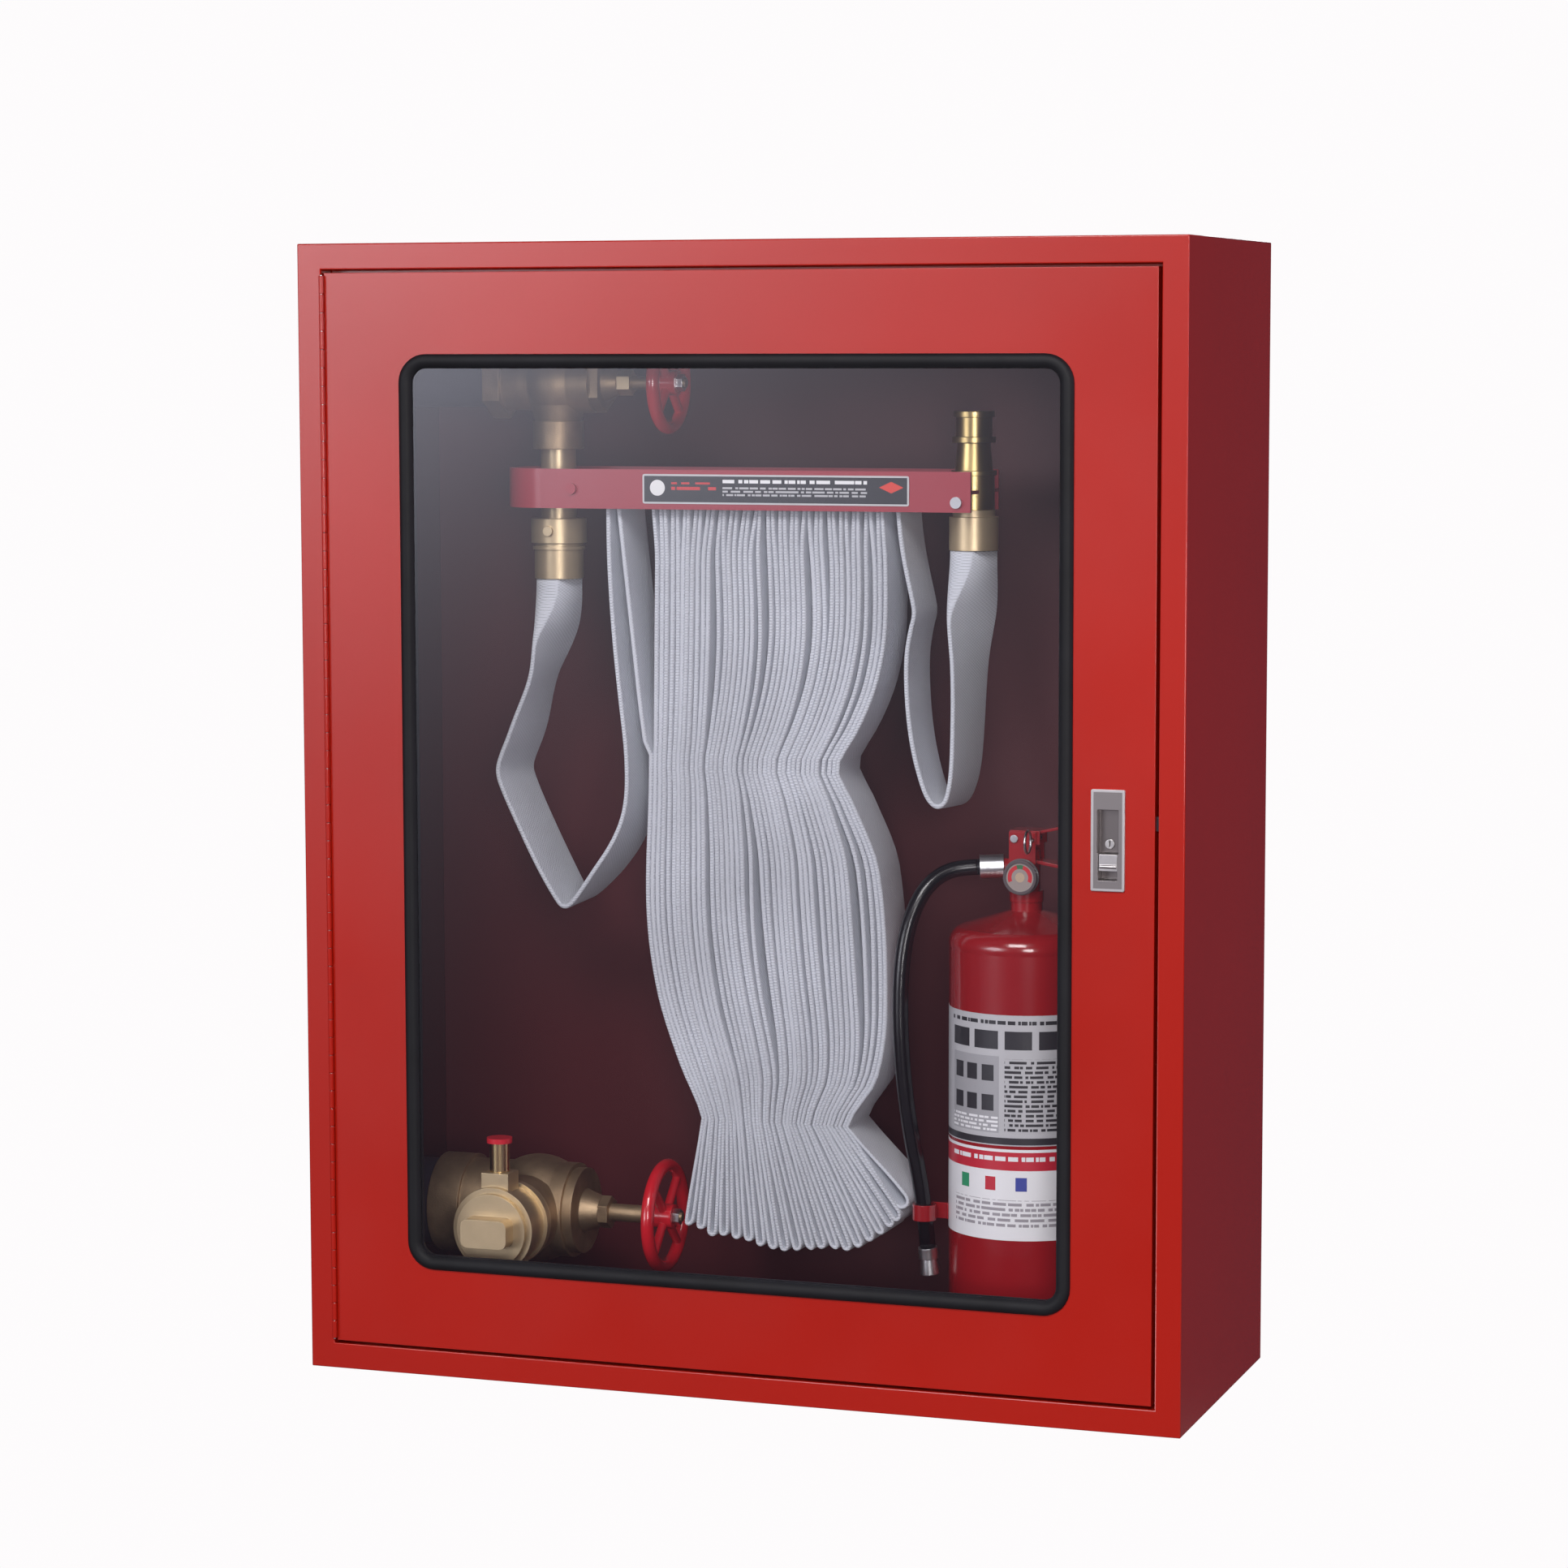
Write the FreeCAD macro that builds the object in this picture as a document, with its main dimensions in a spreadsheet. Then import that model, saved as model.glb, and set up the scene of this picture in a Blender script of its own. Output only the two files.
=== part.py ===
# Wall-hung standpipe cabinet: steel box with a glazed door, a swinging hose rack on an
# angle valve, a larger angle valve with an instantaneous outlet, and a fire extinguisher.
# Frame: X to the right, +Y into the wall, +Z up. The origin is the centre of the back face.
import math
import os
import re

import FreeCAD
import Part
import Sketcher

V = FreeCAD.Vector
DOC = FreeCAD.newDocument("StandpipeCabinet")
SHEET = DOC.addObject("Spreadsheet::Sheet", "Dimensions")

DIMS = {
    # cabinet and door
    "cab_width": 800, "cab_height": 1000, "cab_depth": 300, "wall_gauge": 2,
    "lip_width": 22.5, "jamb_depth": 24, "stop_width": 12, "door_gap": 3,
    "door_edge": 20, "door_gauge": 2, "bolt_span_x": 600, "bolt_span_z": 800, "wall_hole": 6,
    # window
    "window_half_x": 298, "window_half_z": 398, "window_corner": 20,
    "seal_out": 6, "seal_in": 6.5, "seal_proud": 4, "seal_back": 8, "glass_gauge": 4,
    # piano hinge
    "knuckle_pitch": 16, "knuckle_rad": 2.2, "pin_rad": 1.0, "pin_play": 0.06, "leaf_gauge": 0.9,
    # flush lock
    "lock_x": 334.8, "lock_z": 1.8, "lock_width": 29, "lock_height": 85, "lock_proud": 2,
    "recess_depth": 6, "bolt_z": 15.8, "key_z": -1.9, "key_rad": 4,
    # inlet pipes: a bare stub outside the cabinet, then a slightly stouter pipe
    "pipe_end": -430, "pipe_stub": 28, "pipe_step": 1.2, "pipe_play": 0.2, "grommet_wall": 3,
    "upper_pipe_rad": 21, "lower_pipe_rad": 38,
    # upper valve and hose rack
    "riser_y": -150, "nipple_x": -216, "upper_z": 378, "nipple_rad": 15.7,
    "upper_wheel_x": -110, "upper_wheel_rad": 40,
    "rack_z": 285, "rack_height": 35, "rack_gauge": 3, "rack_half": 41, "rack_end": 183,
    "pin_count": 20, "pin_first": -110, "pin_step": 11.2, "loose_pin": -151.5,
    "hose_pin_rad": 2.5, "hose_width": 65, "hose_gauge": 4.6, "nozzle_x": 173,
    # lower valve
    "lower_x": -241, "lower_z": -374, "lower_wheel_x": -117, "lower_wheel_rad": 46, "rim_rad": 6,
    # extinguisher
    "ext_x": 222, "ext_rad": 67.5, "ext_shoulder": -112, "ext_gauge": 1.5, "ext_hose_rad": 7,
    "clip_z": -354, "clip_height": 14,
}


def column_name(index):
    return "A%d" % (index + 1)


for index, (alias, value) in enumerate(DIMS.items()):
    SHEET.set(column_name(index), str(value))
    SHEET.setAlias(column_name(index), alias)
DOC.recompute()

NODES = []
ALIAS = re.compile(r"\b(" + "|".join(sorted(DIMS, key=len, reverse=True)) + r")\b")


def cells(text):
    """Turn plain aliases into references to the sheet's cells."""
    return ALIAS.sub(r"Dimensions.\1", str(text))


def value_of(alias):
    return float(SHEET.get(alias))


def bind(obj, prop, text):
    obj.setExpression(prop, cells(text))


def place(obj, at, axis="z"):
    turns = {"z": (V(0, 0, 1), 0), "x": (V(0, 1, 0), 90), "y": (V(1, 0, 0), -90),
             "-x": (V(0, 1, 0), -90), "-y": (V(1, 0, 0), 90), "-z": (V(1, 0, 0), 180)}
    direction, angle = turns[axis]
    obj.Placement = FreeCAD.Placement(V(0, 0, 0), FreeCAD.Rotation(direction, angle))
    for letter, text in zip("xyz", at):
        bind(obj, "Placement.Base." + letter, text)
    return obj


def box(low, size):
    obj = DOC.addObject("Part::Box", "Block")
    for prop, text in zip(("Length", "Width", "Height"), size):
        bind(obj, prop, text)
    return place(obj, low)


def rod(at, axis, radius, length, angle=360):
    obj = DOC.addObject("Part::Cylinder", "Rod")
    bind(obj, "Radius", radius)
    bind(obj, "Height", length)
    obj.Angle = angle
    return place(obj, at, axis)


def taper(at, axis, radius_a, radius_b, length):
    obj = DOC.addObject("Part::Cone", "Taper")
    bind(obj, "Radius1", radius_a)
    bind(obj, "Radius2", radius_b)
    bind(obj, "Height", length)
    return place(obj, at, axis)


def ring(at, axis, radius, tube):
    obj = DOC.addObject("Part::Torus", "Ring")
    bind(obj, "Radius1", radius)
    bind(obj, "Radius2", tube)
    return place(obj, at, axis)


def ball(at, radius):
    """A sphere whose poles lie on the X axis, in line with the valves' own axes."""
    obj = DOC.addObject("Part::Sphere", "Ball")
    bind(obj, "Radius", radius)
    return place(obj, at, "x")


def hexagon(at, axis, flats, length):
    obj = DOC.addObject("Part::Prism", "Hexagon")
    obj.Polygon = 6
    bind(obj, "Circumradius", "(%s) / 1.7320508" % flats)
    bind(obj, "Height", length)
    return place(obj, at, axis)


def fuse(*pieces):
    obj = DOC.addObject("Part::MultiFuse", "Joined")
    obj.Shapes = list(pieces)
    obj.Refine = True
    return obj


def cut(base, *tools):
    obj = DOC.addObject("Part::Cut", "Trimmed")
    obj.Base = base
    obj.Tool = tools[0] if len(tools) == 1 else fuse(*tools)
    return obj


def group(*pieces):
    obj = DOC.addObject("Part::Compound", "Set")
    obj.Links = list(pieces)
    return obj


def rounded(base, radius, along):
    """Round the four edges of a block that run along one axis."""
    DOC.recompute()
    obj = DOC.addObject("Part::Fillet", "Rounded")
    obj.Base = base
    picked = []
    for number, edge in enumerate(base.Shape.Edges, 1):
        tangent = edge.tangentAt(edge.FirstParameter)
        if abs(getattr(tangent, along)) > 0.99:
            picked.append((number, radius, radius))
    obj.Edges = picked
    return obj


def shaped(shape):
    obj = DOC.addObject("Part::Feature", "Shaped")
    obj.Shape = shape
    return obj


def node(name, obj):
    obj.Label = name
    NODES.append(obj)
    return obj


def centred_box(half_x, half_z, front, back):
    return box(("-(%s)" % half_x, front, "-(%s)" % half_z),
               ("2 * (%s)" % half_x, "(%s) - (%s)" % (back, front), "2 * (%s)" % half_z))


# ---------------------------------------------------------------- sketched bodies
def new_body(name):
    body = DOC.addObject("PartDesign::Body", "Body")
    node(name, body)
    return body


def origin_plane(body, role):
    return [item for item in body.Origin.OriginFeatures if item.Role == role][0]


def sketch_on(body, role, name):
    sketch = body.newObject("Sketcher::SketchObject", name)
    sketch.AttachmentSupport = [(origin_plane(body, role), "")]
    sketch.MapMode = "FlatFace"
    return sketch


def sketch_rectangle(sketch, left, low, width, height):
    """Four tied lines whose corner and sides are bound to the sheet."""
    first = sketch.GeometryCount
    corners = [V(1, 1, 0), V(9, 1, 0), V(9, 8, 0), V(1, 8, 0)]
    for index in range(4):
        sketch.addGeometry(Part.LineSegment(corners[index], corners[(index + 1) % 4]), False)
    for index in range(4):
        sketch.addConstraint(Sketcher.Constraint(
            "Coincident", first + index, 2, first + (index + 1) % 4, 1))
    for index in (0, 2):
        sketch.addConstraint(Sketcher.Constraint("Horizontal", first + index))
        sketch.addConstraint(Sketcher.Constraint("Vertical", first + index + 1))
    settings = (("DistanceX", first, 1, first, 2, width), ("DistanceY", first + 1, 1, first + 1, 2, height),
                ("DistanceX", -1, 1, first, 1, left), ("DistanceY", -1, 1, first, 1, low))
    for kind, geo_a, pos_a, geo_b, pos_b, text in settings:
        number = sketch.addConstraint(Sketcher.Constraint(kind, geo_a, pos_a, geo_b, pos_b, 5.0))
        sketch.setExpression("Constraints[%d]" % number, cells(text))


def sketch_circle(sketch, centre_x, centre_y, radius):
    first = sketch.GeometryCount
    sketch.addGeometry(Part.Circle(V(5, 5, 0), V(0, 0, 1), 3), False)
    number = sketch.addConstraint(Sketcher.Constraint("Radius", first, 3.0))
    sketch.setExpression("Constraints[%d]" % number, cells(radius))
    for kind, text in (("DistanceX", centre_x), ("DistanceY", centre_y)):
        number = sketch.addConstraint(Sketcher.Constraint(kind, -1, 1, first, 3, 5.0))
        sketch.setExpression("Constraints[%d]" % number, cells(text))


def pad(body, sketch, length, back=False):
    feature = body.newObject("PartDesign::Pad", "Pad")
    feature.Profile = sketch
    bind(feature, "Length", length)
    feature.Reversed = back
    return feature


# ---------------------------------------------------------------- cabinet
def cabinet():
    half_x, half_z = "cab_width / 2", "cab_height / 2"
    open_x, open_z = half_x + " - lip_width", half_z + " - lip_width"
    tube = cut(centred_box(half_x, half_z, "-cab_depth", "0"),
               centred_box(half_x + " - wall_gauge", half_z + " - wall_gauge", "-cab_depth - 1", "1"))
    lip = cut(centred_box(half_x, half_z, "-cab_depth", "-cab_depth + wall_gauge"),
              centred_box(open_x, open_z, "-cab_depth - 1", "-cab_depth + 5"))
    jamb = cut(centred_box(open_x + " + wall_gauge", open_z + " + wall_gauge", "-cab_depth",
                           "-cab_depth + jamb_depth"),
               centred_box(open_x, open_z, "-cab_depth - 1", "0"))
    stop = cut(centred_box(open_x + " + wall_gauge", open_z + " + wall_gauge",
                           "-cab_depth + jamb_depth - wall_gauge", "-cab_depth + jamb_depth"),
               centred_box(open_x + " - stop_width", open_z + " - stop_width", "-cab_depth - 1", "0"))
    pipe_holes = [rod(("-cab_width / 2 - 5", "riser_y", height), "x",
                      pipe + " + pipe_step + 2 * pipe_play + grommet_wall", "20")
                  for height, pipe in (("upper_z", "upper_pipe_rad"), ("lower_z", "lower_pipe_rad"))]
    strike_slot = box(("cab_width / 2 - lip_width - 3", "-cab_depth + 6", "bolt_z - 9"), ("8", "10", "18"))
    node("cabinet_shell", cut(fuse(tube, lip, jamb, stop), strike_slot, *pipe_holes))

    body = new_body("back_panel")
    sketch = sketch_on(body, "XZ_Plane", "BackOutline")
    sketch_rectangle(sketch, "-cab_width / 2 + wall_gauge", "-cab_height / 2 + wall_gauge",
                     "cab_width - 2 * wall_gauge", "cab_height - 2 * wall_gauge")
    for side_x in (-1, 1):
        for side_z in (-1, 1):
            sketch_circle(sketch, "%d * bolt_span_x / 2" % side_x, "%d * bolt_span_z / 2" % side_z,
                          "wall_hole")
    pad(body, sketch, "wall_gauge")

    grommets = []
    for height, pipe in (("upper_z", "upper_pipe_rad"), ("lower_z", "lower_pipe_rad")):
        radius = pipe + " + pipe_step + pipe_play"
        collar = fuse(rod(("-cab_width / 2", "riser_y", height), "x", radius + " + grommet_wall", "wall_gauge"),
                      rod(("-cab_width / 2 + wall_gauge", "riser_y", height), "x", radius + " + 7", "3"))
        grommets.append(cut(collar, rod(("-cab_width / 2 - 5", "riser_y", height), "x", radius, "20")))
    node("pipe_grommets", group(*grommets))


# ---------------------------------------------------------------- door
def door():
    door_x, door_z = "cab_width / 2 - lip_width - door_gap", "cab_height / 2 - lip_width - door_gap"
    pan = cut(centred_box(door_x, door_z, "-cab_depth", "-cab_depth + door_edge"),
              centred_box(door_x + " - door_gauge", door_z + " - door_gauge",
                          "-cab_depth + door_gauge", "0"))
    hem = cut(centred_box(door_x, door_z, "-cab_depth + door_edge - door_gauge",
                          "-cab_depth + door_edge"),
              centred_box(door_x + " - 14", door_z + " - 14", "-cab_depth - 1", "0"))
    window = rounded(centred_box("window_half_x", "window_half_z", "-cab_depth - 5", "-cab_depth + 5"),
                     value_of("window_corner"), "y")
    lock_hole = box(("lock_x - 12", "-cab_depth - 2", "lock_z - 40"), ("24", "8", "80"))
    bolt_hole = box(("%s - 6" % door_x, "-cab_depth + 7", "bolt_z - 7"), ("12", "8", "14"))
    node("door_panel", cut(fuse(pan, hem), window, lock_hole, bolt_hole))

    corner = value_of("window_corner")
    outer = rounded(centred_box("window_half_x + seal_out", "window_half_z + seal_out",
                                "-cab_depth - seal_proud", "-cab_depth + seal_back"), corner + 5, "y")
    inner = rounded(centred_box("window_half_x - seal_in", "window_half_z - seal_in",
                                "-cab_depth - 9", "0"), corner - 5, "y")
    sheet_slot = cut(centred_box("window_half_x + 20", "window_half_z + 20", "-cab_depth",
                                 "-cab_depth + door_gauge"),
                     rounded(centred_box("window_half_x", "window_half_z", "-cab_depth - 1",
                                         "-cab_depth + 5"), corner, "y"))
    glass_slot = rounded(centred_box("window_half_x - 2.5", "window_half_z - 2.5",
                                     "-cab_depth + 1", "-cab_depth + 1 + glass_gauge"),
                         corner - 3, "y")
    node("window_gasket", cut(outer, inner, sheet_slot, glass_slot))
    glass = rounded(centred_box("window_half_x - 2.5", "window_half_z - 2.5",
                                "-cab_depth + 1", "-cab_depth + 1 + glass_gauge"), corner - 3, "y")
    node("door_glass", glass)


def piano_hinge():
    """A full-height hinge in the left gap; knuckles alternate between the two leaves."""
    axis_x = -value_of("cab_width") / 2 + value_of("lip_width") + value_of("door_gap") / 2
    axis_y = -value_of("cab_depth") - value_of("knuckle_rad") - 0.2
    pitch = value_of("knuckle_pitch")
    radius = value_of("knuckle_rad")
    bore = value_of("pin_rad") + value_of("pin_play")
    gauge = value_of("leaf_gauge")
    count = 59
    low = -count * pitch / 2
    leaves = {-1: [], 1: []}
    for index in range(count):
        side = -1 if index % 2 == 0 else 1
        start = low + index * pitch + 0.2
        length = pitch - 0.4
        outside = Part.makeCylinder(radius, length, V(axis_x, axis_y, start))
        tab = Part.makeBox(gauge, radius + 0.6, length,
                           V(axis_x + side * (0.5 + gauge / 2) - gauge / 2, axis_y + 0.3, start))
        barrel = outside.fuse(tab).cut(Part.makeCylinder(bore, length, V(axis_x, axis_y, start)))
        leaves[side].append(barrel)
    for side, name in ((-1, "hinge_leaf_frame"), (1, "hinge_leaf_door")):
        leaf = Part.makeBox(gauge, 16, count * pitch - 1,
                            V(axis_x + side * (0.5 + gauge / 2) - gauge / 2, axis_y + radius + 0.5,
                              low + 0.5))
        node(name, shaped(leaf.multiFuse(leaves[side]).removeSplitter()))
    pin = Part.makeCylinder(value_of("pin_rad"), count * pitch + 2, V(axis_x, axis_y, low - 1))
    node("hinge_pin", shaped(pin))


def flush_lock():
    """Flush lock: a plate with a finger recess, a key in the recess's floor and a thumb slide."""
    left, low = "lock_x - lock_width / 2", "lock_z - lock_height / 2"
    floor = "-cab_depth + recess_depth"
    face = rounded(box((left, "-cab_depth - lock_proud", low),
                       ("lock_width", "lock_proud", "lock_height")), 1.5, "y")
    case = box(("lock_x - 11.7", "-cab_depth", "lock_z - 39.7"), ("23.4", "17", "79.4"))
    recess = box(("lock_x - 9.2", "-cab_depth - 5", "lock_z - 11"), ("18.4", "5 + recess_depth", "36.5"))
    tab_slot = box(("lock_x - 8.2", "-cab_depth - 5", "lock_z - 33.5"), ("16.4", "16", "23"))
    key_bore = rod(("lock_x", "-cab_depth", "key_z"), "y", "key_rad + 0.06", "40")
    bolt_way = box(("lock_x - 16", "-cab_depth + 7.6", "bolt_z - 6.3"), ("32", "6.8", "12.6"))
    node("latch_housing", cut(fuse(face, case), recess, tab_slot, key_bore, bolt_way))
    slide = box(("lock_x - 7.9", "-cab_depth - 0.8", "lock_z - 25.8"), ("15.8", "8", "14"))
    grip = rod(("lock_x - 7", "-cab_depth - 0.8", "lock_z - 22"), "x", "1.4", "14")
    node("thumb_slide", fuse(slide, grip))
    tongue = box(("lock_x - 4", "-cab_depth + 8", "bolt_z - 6"),
                 ("cab_width / 2 - 16 - lock_x + 4", "6", "12"))
    node("latch_bolt", tongue)
    plug = fuse(rod(("lock_x", floor + " - 1", "key_z"), "y", "key_rad", "15"),
                box(("lock_x - 2", "-cab_depth + 17.3", "key_z - 10.5"), ("4", "2.5", "12.5")))
    slot = box(("lock_x - 0.6", floor + " - 5", "key_z - 2.5"), ("1.2", "8", "5"))
    node("key_cylinder", cut(plug, slot))


# ---------------------------------------------------------------- valves
def handwheel(prefix, centre_x, height, radius, rim):
    rim_ring = ring((centre_x, "riser_y", height), "x", radius, rim)
    hub = rod((centre_x + " - 9", "riser_y", height), "x", "11", "18")
    spokes = []
    for turn in range(4):
        angle = math.radians(45 + 90 * turn)
        spoke = rod((centre_x, "riser_y", height), "z", "4", radius)
        spoke.Placement = FreeCAD.Placement(
            V(0, 0, 0), FreeCAD.Rotation(V(1, 0, 0), math.degrees(angle)))
        bind(spoke, "Placement.Base.x", centre_x)
        bind(spoke, "Placement.Base.y", "riser_y")
        bind(spoke, "Placement.Base.z", height)
        spokes.append(spoke)
    bore = rod((centre_x + " - 20", "riser_y", height), "x", "4.6", "40")
    node(prefix + "_handwheel", cut(fuse(rim_ring, hub, *spokes), bore))
    nut = hexagon((centre_x + " + 9", "riser_y", height), "x", "13", "6")
    cap = cut(nut, rod((centre_x, "riser_y", height), "x", "4.1", "40"))
    node(prefix + "_wheel_nut", cap)


def stem(prefix, start, centre_x, height, radius):
    """Stem: a turned shaft with a stepped square seat for the wheel."""
    shaft = rod((start, "riser_y", height), "x", radius, "%s - 9 - (%s)" % (centre_x, start))
    neck = rod((centre_x + " - 9", "riser_y", height), "x", "4.6", "18")
    tail = rod((centre_x + " + 9", "riser_y", height), "x", "4.1", "8")
    node(prefix + "_stem", fuse(shaft, neck, tail))


def inlet_pipe(name, height, radius, reach, bore):
    """A pipe that ends outside the cabinet in a bare stub with a small shoulder behind it."""
    shoulder = "pipe_end + pipe_stub"
    node(name, cut(fuse(rod(("pipe_end", "riser_y", height), "x", radius, "pipe_stub"),
                        rod((shoulder, "riser_y", height), "x", radius + " + pipe_step",
                            "%s - (%s)" % (reach, shoulder))),
                   rod(("pipe_end - 10", "riser_y", height), "x", bore, "300")))


def upper_valve():
    x, z = "nipple_x", "upper_z"
    body = fuse(ball((x, "riser_y", z), "32"),
                rod((x + " - 50", "riser_y", z), "x", "25", "50"),
                hexagon((x + " - 62", "riser_y", z), "x", "56", "16"),
                rod((x, "riser_y", z), "x", "27", "38"),
                rod((x, "riser_y", "319"), "z", "23", "25"),
                taper((x, "riser_y", "341"), "z", "20", "26", "20"))
    hollow = [ball((x, "riser_y", z), "26"),
              rod((x + " - 70", "riser_y", z), "x", "upper_pipe_rad + pipe_step + pipe_play", "70"),
              rod((x, "riser_y", z), "x", "20", "50"), rod((x, "riser_y", "300"), "z", "nipple_rad", "70")]
    node("upper_valve_body", cut(body, *hollow))
    inlet_pipe("upper_inlet_pipe", z, "upper_pipe_rad", "-268", "18")
    bonnet = fuse(rod((x + " + 22", "riser_y", z), "x", "19.9", "16"),
                  hexagon((x + " + 38", "riser_y", z), "x", "46", "9"),
                  taper((x + " + 47", "riser_y", z), "x", "17", "11", "13"))
    node("upper_bonnet", cut(bonnet, rod((x, "riser_y", z), "x", "6.06", "90")))
    packing = cut(hexagon((x + " + 60", "riser_y", z), "x", "20", "12"),
                  rod((x, "riser_y", z), "x", "6.06", "90"))
    node("upper_packing_nut", packing)
    stem("upper", x + " + 4", "upper_wheel_x", z, "6")
    node("upper_disc", fuse(rod((x + " - 8", "riser_y", z), "x", "14", "4"),
                            rod((x + " - 4", "riser_y", z), "x", "9", "7.7")))
    handwheel("upper", "upper_wheel_x", z, "upper_wheel_rad", "rim_rad")


def lower_valve():
    x, z = "lower_x", "lower_z"
    body = fuse(ball((x, "riser_y", z), "49"),
                rod((x + " - 66", "riser_y", z), "x", "42", "66"),
                rod((x + " - 92", "riser_y", z), "x", "45.5", "30"),
                rod((x, "riser_y", z), "x", "43", "38"),
                rod((x, "riser_y", z), "-y", "36", "58"))
    hollow = [ball((x, "riser_y", z), "42"),
              rod((x + " - 100", "riser_y", z), "x", "lower_pipe_rad + pipe_step + pipe_play", "100"),
              rod((x, "riser_y", z), "x", "34", "60"), rod((x, "riser_y", z), "-y", "30", "70")]
    node("lower_valve_body", cut(body, *hollow))
    inlet_pipe("lower_inlet_pipe", z, "lower_pipe_rad", "-290", "33")
    bonnet = fuse(rod((x + " + 24", "riser_y", z), "x", "33.9", "14"),
                  rod((x + " + 38", "riser_y", z), "x", "39", "9"),
                  taper((x + " + 47", "riser_y", z), "x", "20", "14", "16"),
                  hexagon((x + " + 63", "riser_y", z), "x", "26", "9"))
    node("lower_bonnet", cut(bonnet, rod((x, "riser_y", z), "x", "8.06", "130")))
    stem("lower", x + " + 4", "lower_wheel_x", z, "8")
    node("lower_disc", fuse(rod((x + " - 12", "riser_y", z), "x", "27", "6"),
                            rod((x + " - 6", "riser_y", z), "x", "12", "9.7")))
    handwheel("lower", "lower_wheel_x", z, "lower_wheel_rad", "rim_rad")

    front = "riser_y - 58"
    coupling = fuse(rod((x, front, z), "-y", "36", "8"),
                    rod((x, front + " - 8", z), "-y", "39", "8"),
                    rod((x, front + " - 16", z), "-y", "35.5", "26"),
                    rod((x, front + " - 42", z), "-y", "38", "8"),
                    box((x + " - 13", front + " - 44", z + " + 30"), ("26", "24", "20")),
                    box((x + " - 13", front + " - 44", z + " - 50"), ("26", "24", "20")))
    plunger_y = front + " - 32"
    openings = [rod((x, "riser_y", z), "-y", "30", "120"),
                rod((x, plunger_y, z + " + 28"), "z", "6.5", "30"),
                rod((x, plunger_y, z + " - 28"), "-z", "6.5", "30")]
    node("outlet_coupling", cut(coupling, *openings))
    for name, sign, reach in (("upper_plunger", 1, "26"), ("lower_plunger", -1, "9")):
        direction = "z" if sign > 0 else "-z"
        shank = rod((x, plunger_y, "%s + %d * 31" % (z, sign)), direction, "6.2", "19.4")
        knob = rod((x, plunger_y, "%s + %d * 50.3" % (z, sign)), direction, "9", reach)
        cap = rod((x, plunger_y, "%s + %d * (50.3 + %s)" % (z, sign, reach)), direction, "11.5", "4.5")
        node("outlet_" + name, fuse(shank, knob, cap))
    plug = fuse(rod((x, front + " - 20", z), "-y", "29.9", "31"),
                rod((x, front + " - 50.2", z), "-y", "33", "5"))
    bar = rounded(box((x + " - 22", front + " - 72", z + " - 13"), ("44", "18", "26")), 7, "y")
    node("outlet_cap", cut(fuse(plug, bar), rod((x, front + " - 10", z), "-y", "26", "36")))


# ---------------------------------------------------------------- hose rack
def hose_rack():
    x, y, z = "nipple_x", "riser_y", "rack_z"
    low = z + " - rack_height / 2"
    straight = "rack_end - (nipple_x)"
    front = box((x, y + " - rack_half - rack_gauge", low), (straight, "rack_gauge", "rack_height"))
    rear = box((x, y + " + rack_half", low), (straight, "rack_gauge", "rack_height"))
    bend = rod((x, y, low), "z", "rack_half + rack_gauge", "rack_height")
    not_bent = box((x, y + " - 60", low + " - 1"), ("60", "120", "rack_height + 2"))
    inside = rod((x, y, low + " - 1"), "z", "rack_half", "rack_height + 2")
    strap = fuse(cut(bend, inside, not_bent), front, rear)
    bolt_holes = [rod(("rack_end - 12.5", y + " - 60", z + " - 9"), "y", "3.1", "120"),
                  rod((x + " + 30", y + " - 60", z), "y", "3.1", "120")]
    pin_holes = pins_row("hose_pin_rad", 100)
    node("rack_frame", cut(strap, *bolt_holes, *pin_holes))
    hub = box((x + " - 24", y + " - rack_half", z + " - 14"), ("60", "2 * rack_half", "28"))
    relief = [rod((x, y, z + " - 30"), "z", "nipple_rad + 0.06", "60"),
              rod((x + " + 30", y + " - 60", z), "y", "3.1", "120")]
    corner_cut = cut(box((x + " - 60", y + " - 60", z + " - 20"), ("60", "120", "40")),
                     rod((x, y, z + " - 25"), "z", "rack_half", "50"))
    node("rack_hub", cut(hub, corner_cut, *relief))
    node("hose_pins", group(*pins_row("hose_pin_rad", 2 * (value_of("rack_half") + 3))))
    node("rack_nipple", cut(rod((x, y, "240"), "z", "nipple_rad", "105"),
                            rod((x, y, "230"), "z", "12.5", "130")))
    bracket = cut(box(("rack_end - 42", y + " - rack_half", z + " - 2"), ("42", "2 * rack_half", "3")),
                  rod(("nozzle_x", y, z + " - 9"), "z", "20.5", "30"),
                  box(("nozzle_x", y + " - 18", z + " - 9"), ("40", "36", "30")))
    ears = [box(("rack_end - 22", y + " - rack_half", z + " - 16"), ("16", "3", "14.5")),
            box(("rack_end - 22", y + " + rack_half - 3", z + " - 16"), ("16", "3", "14.5"))]
    ear_holes = rod(("rack_end - 12.5", y + " - 60", z + " - 9"), "y", "3.1", "120")
    node("nozzle_bracket", cut(fuse(bracket, *ears), ear_holes))
    screws = []
    for place_x, place_z, thread in (("rack_end - 12.5", z + " - 9", "6.4"), (x + " + 30", z, "12")):
        for side in (-1, 1):
            axis = "-y" if side < 0 else "y"
            face = "%s + %d * (rack_half + rack_gauge)" % (y, side)
            inward = "y" if side < 0 else "-y"
            head = rod((place_x, face, place_z), axis, "5", "3")
            shank = rod((place_x, face, place_z), inward, "3", thread)
            screws.append(fuse(head, shank))
    node("rack_screws", group(*screws))
    plate = rounded(box(("-118", y + " - rack_half - rack_gauge - 1", z + " - 12.5"), ("246", "1", "26")),
                    2, "y")
    node("rack_nameplate", plate)


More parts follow.
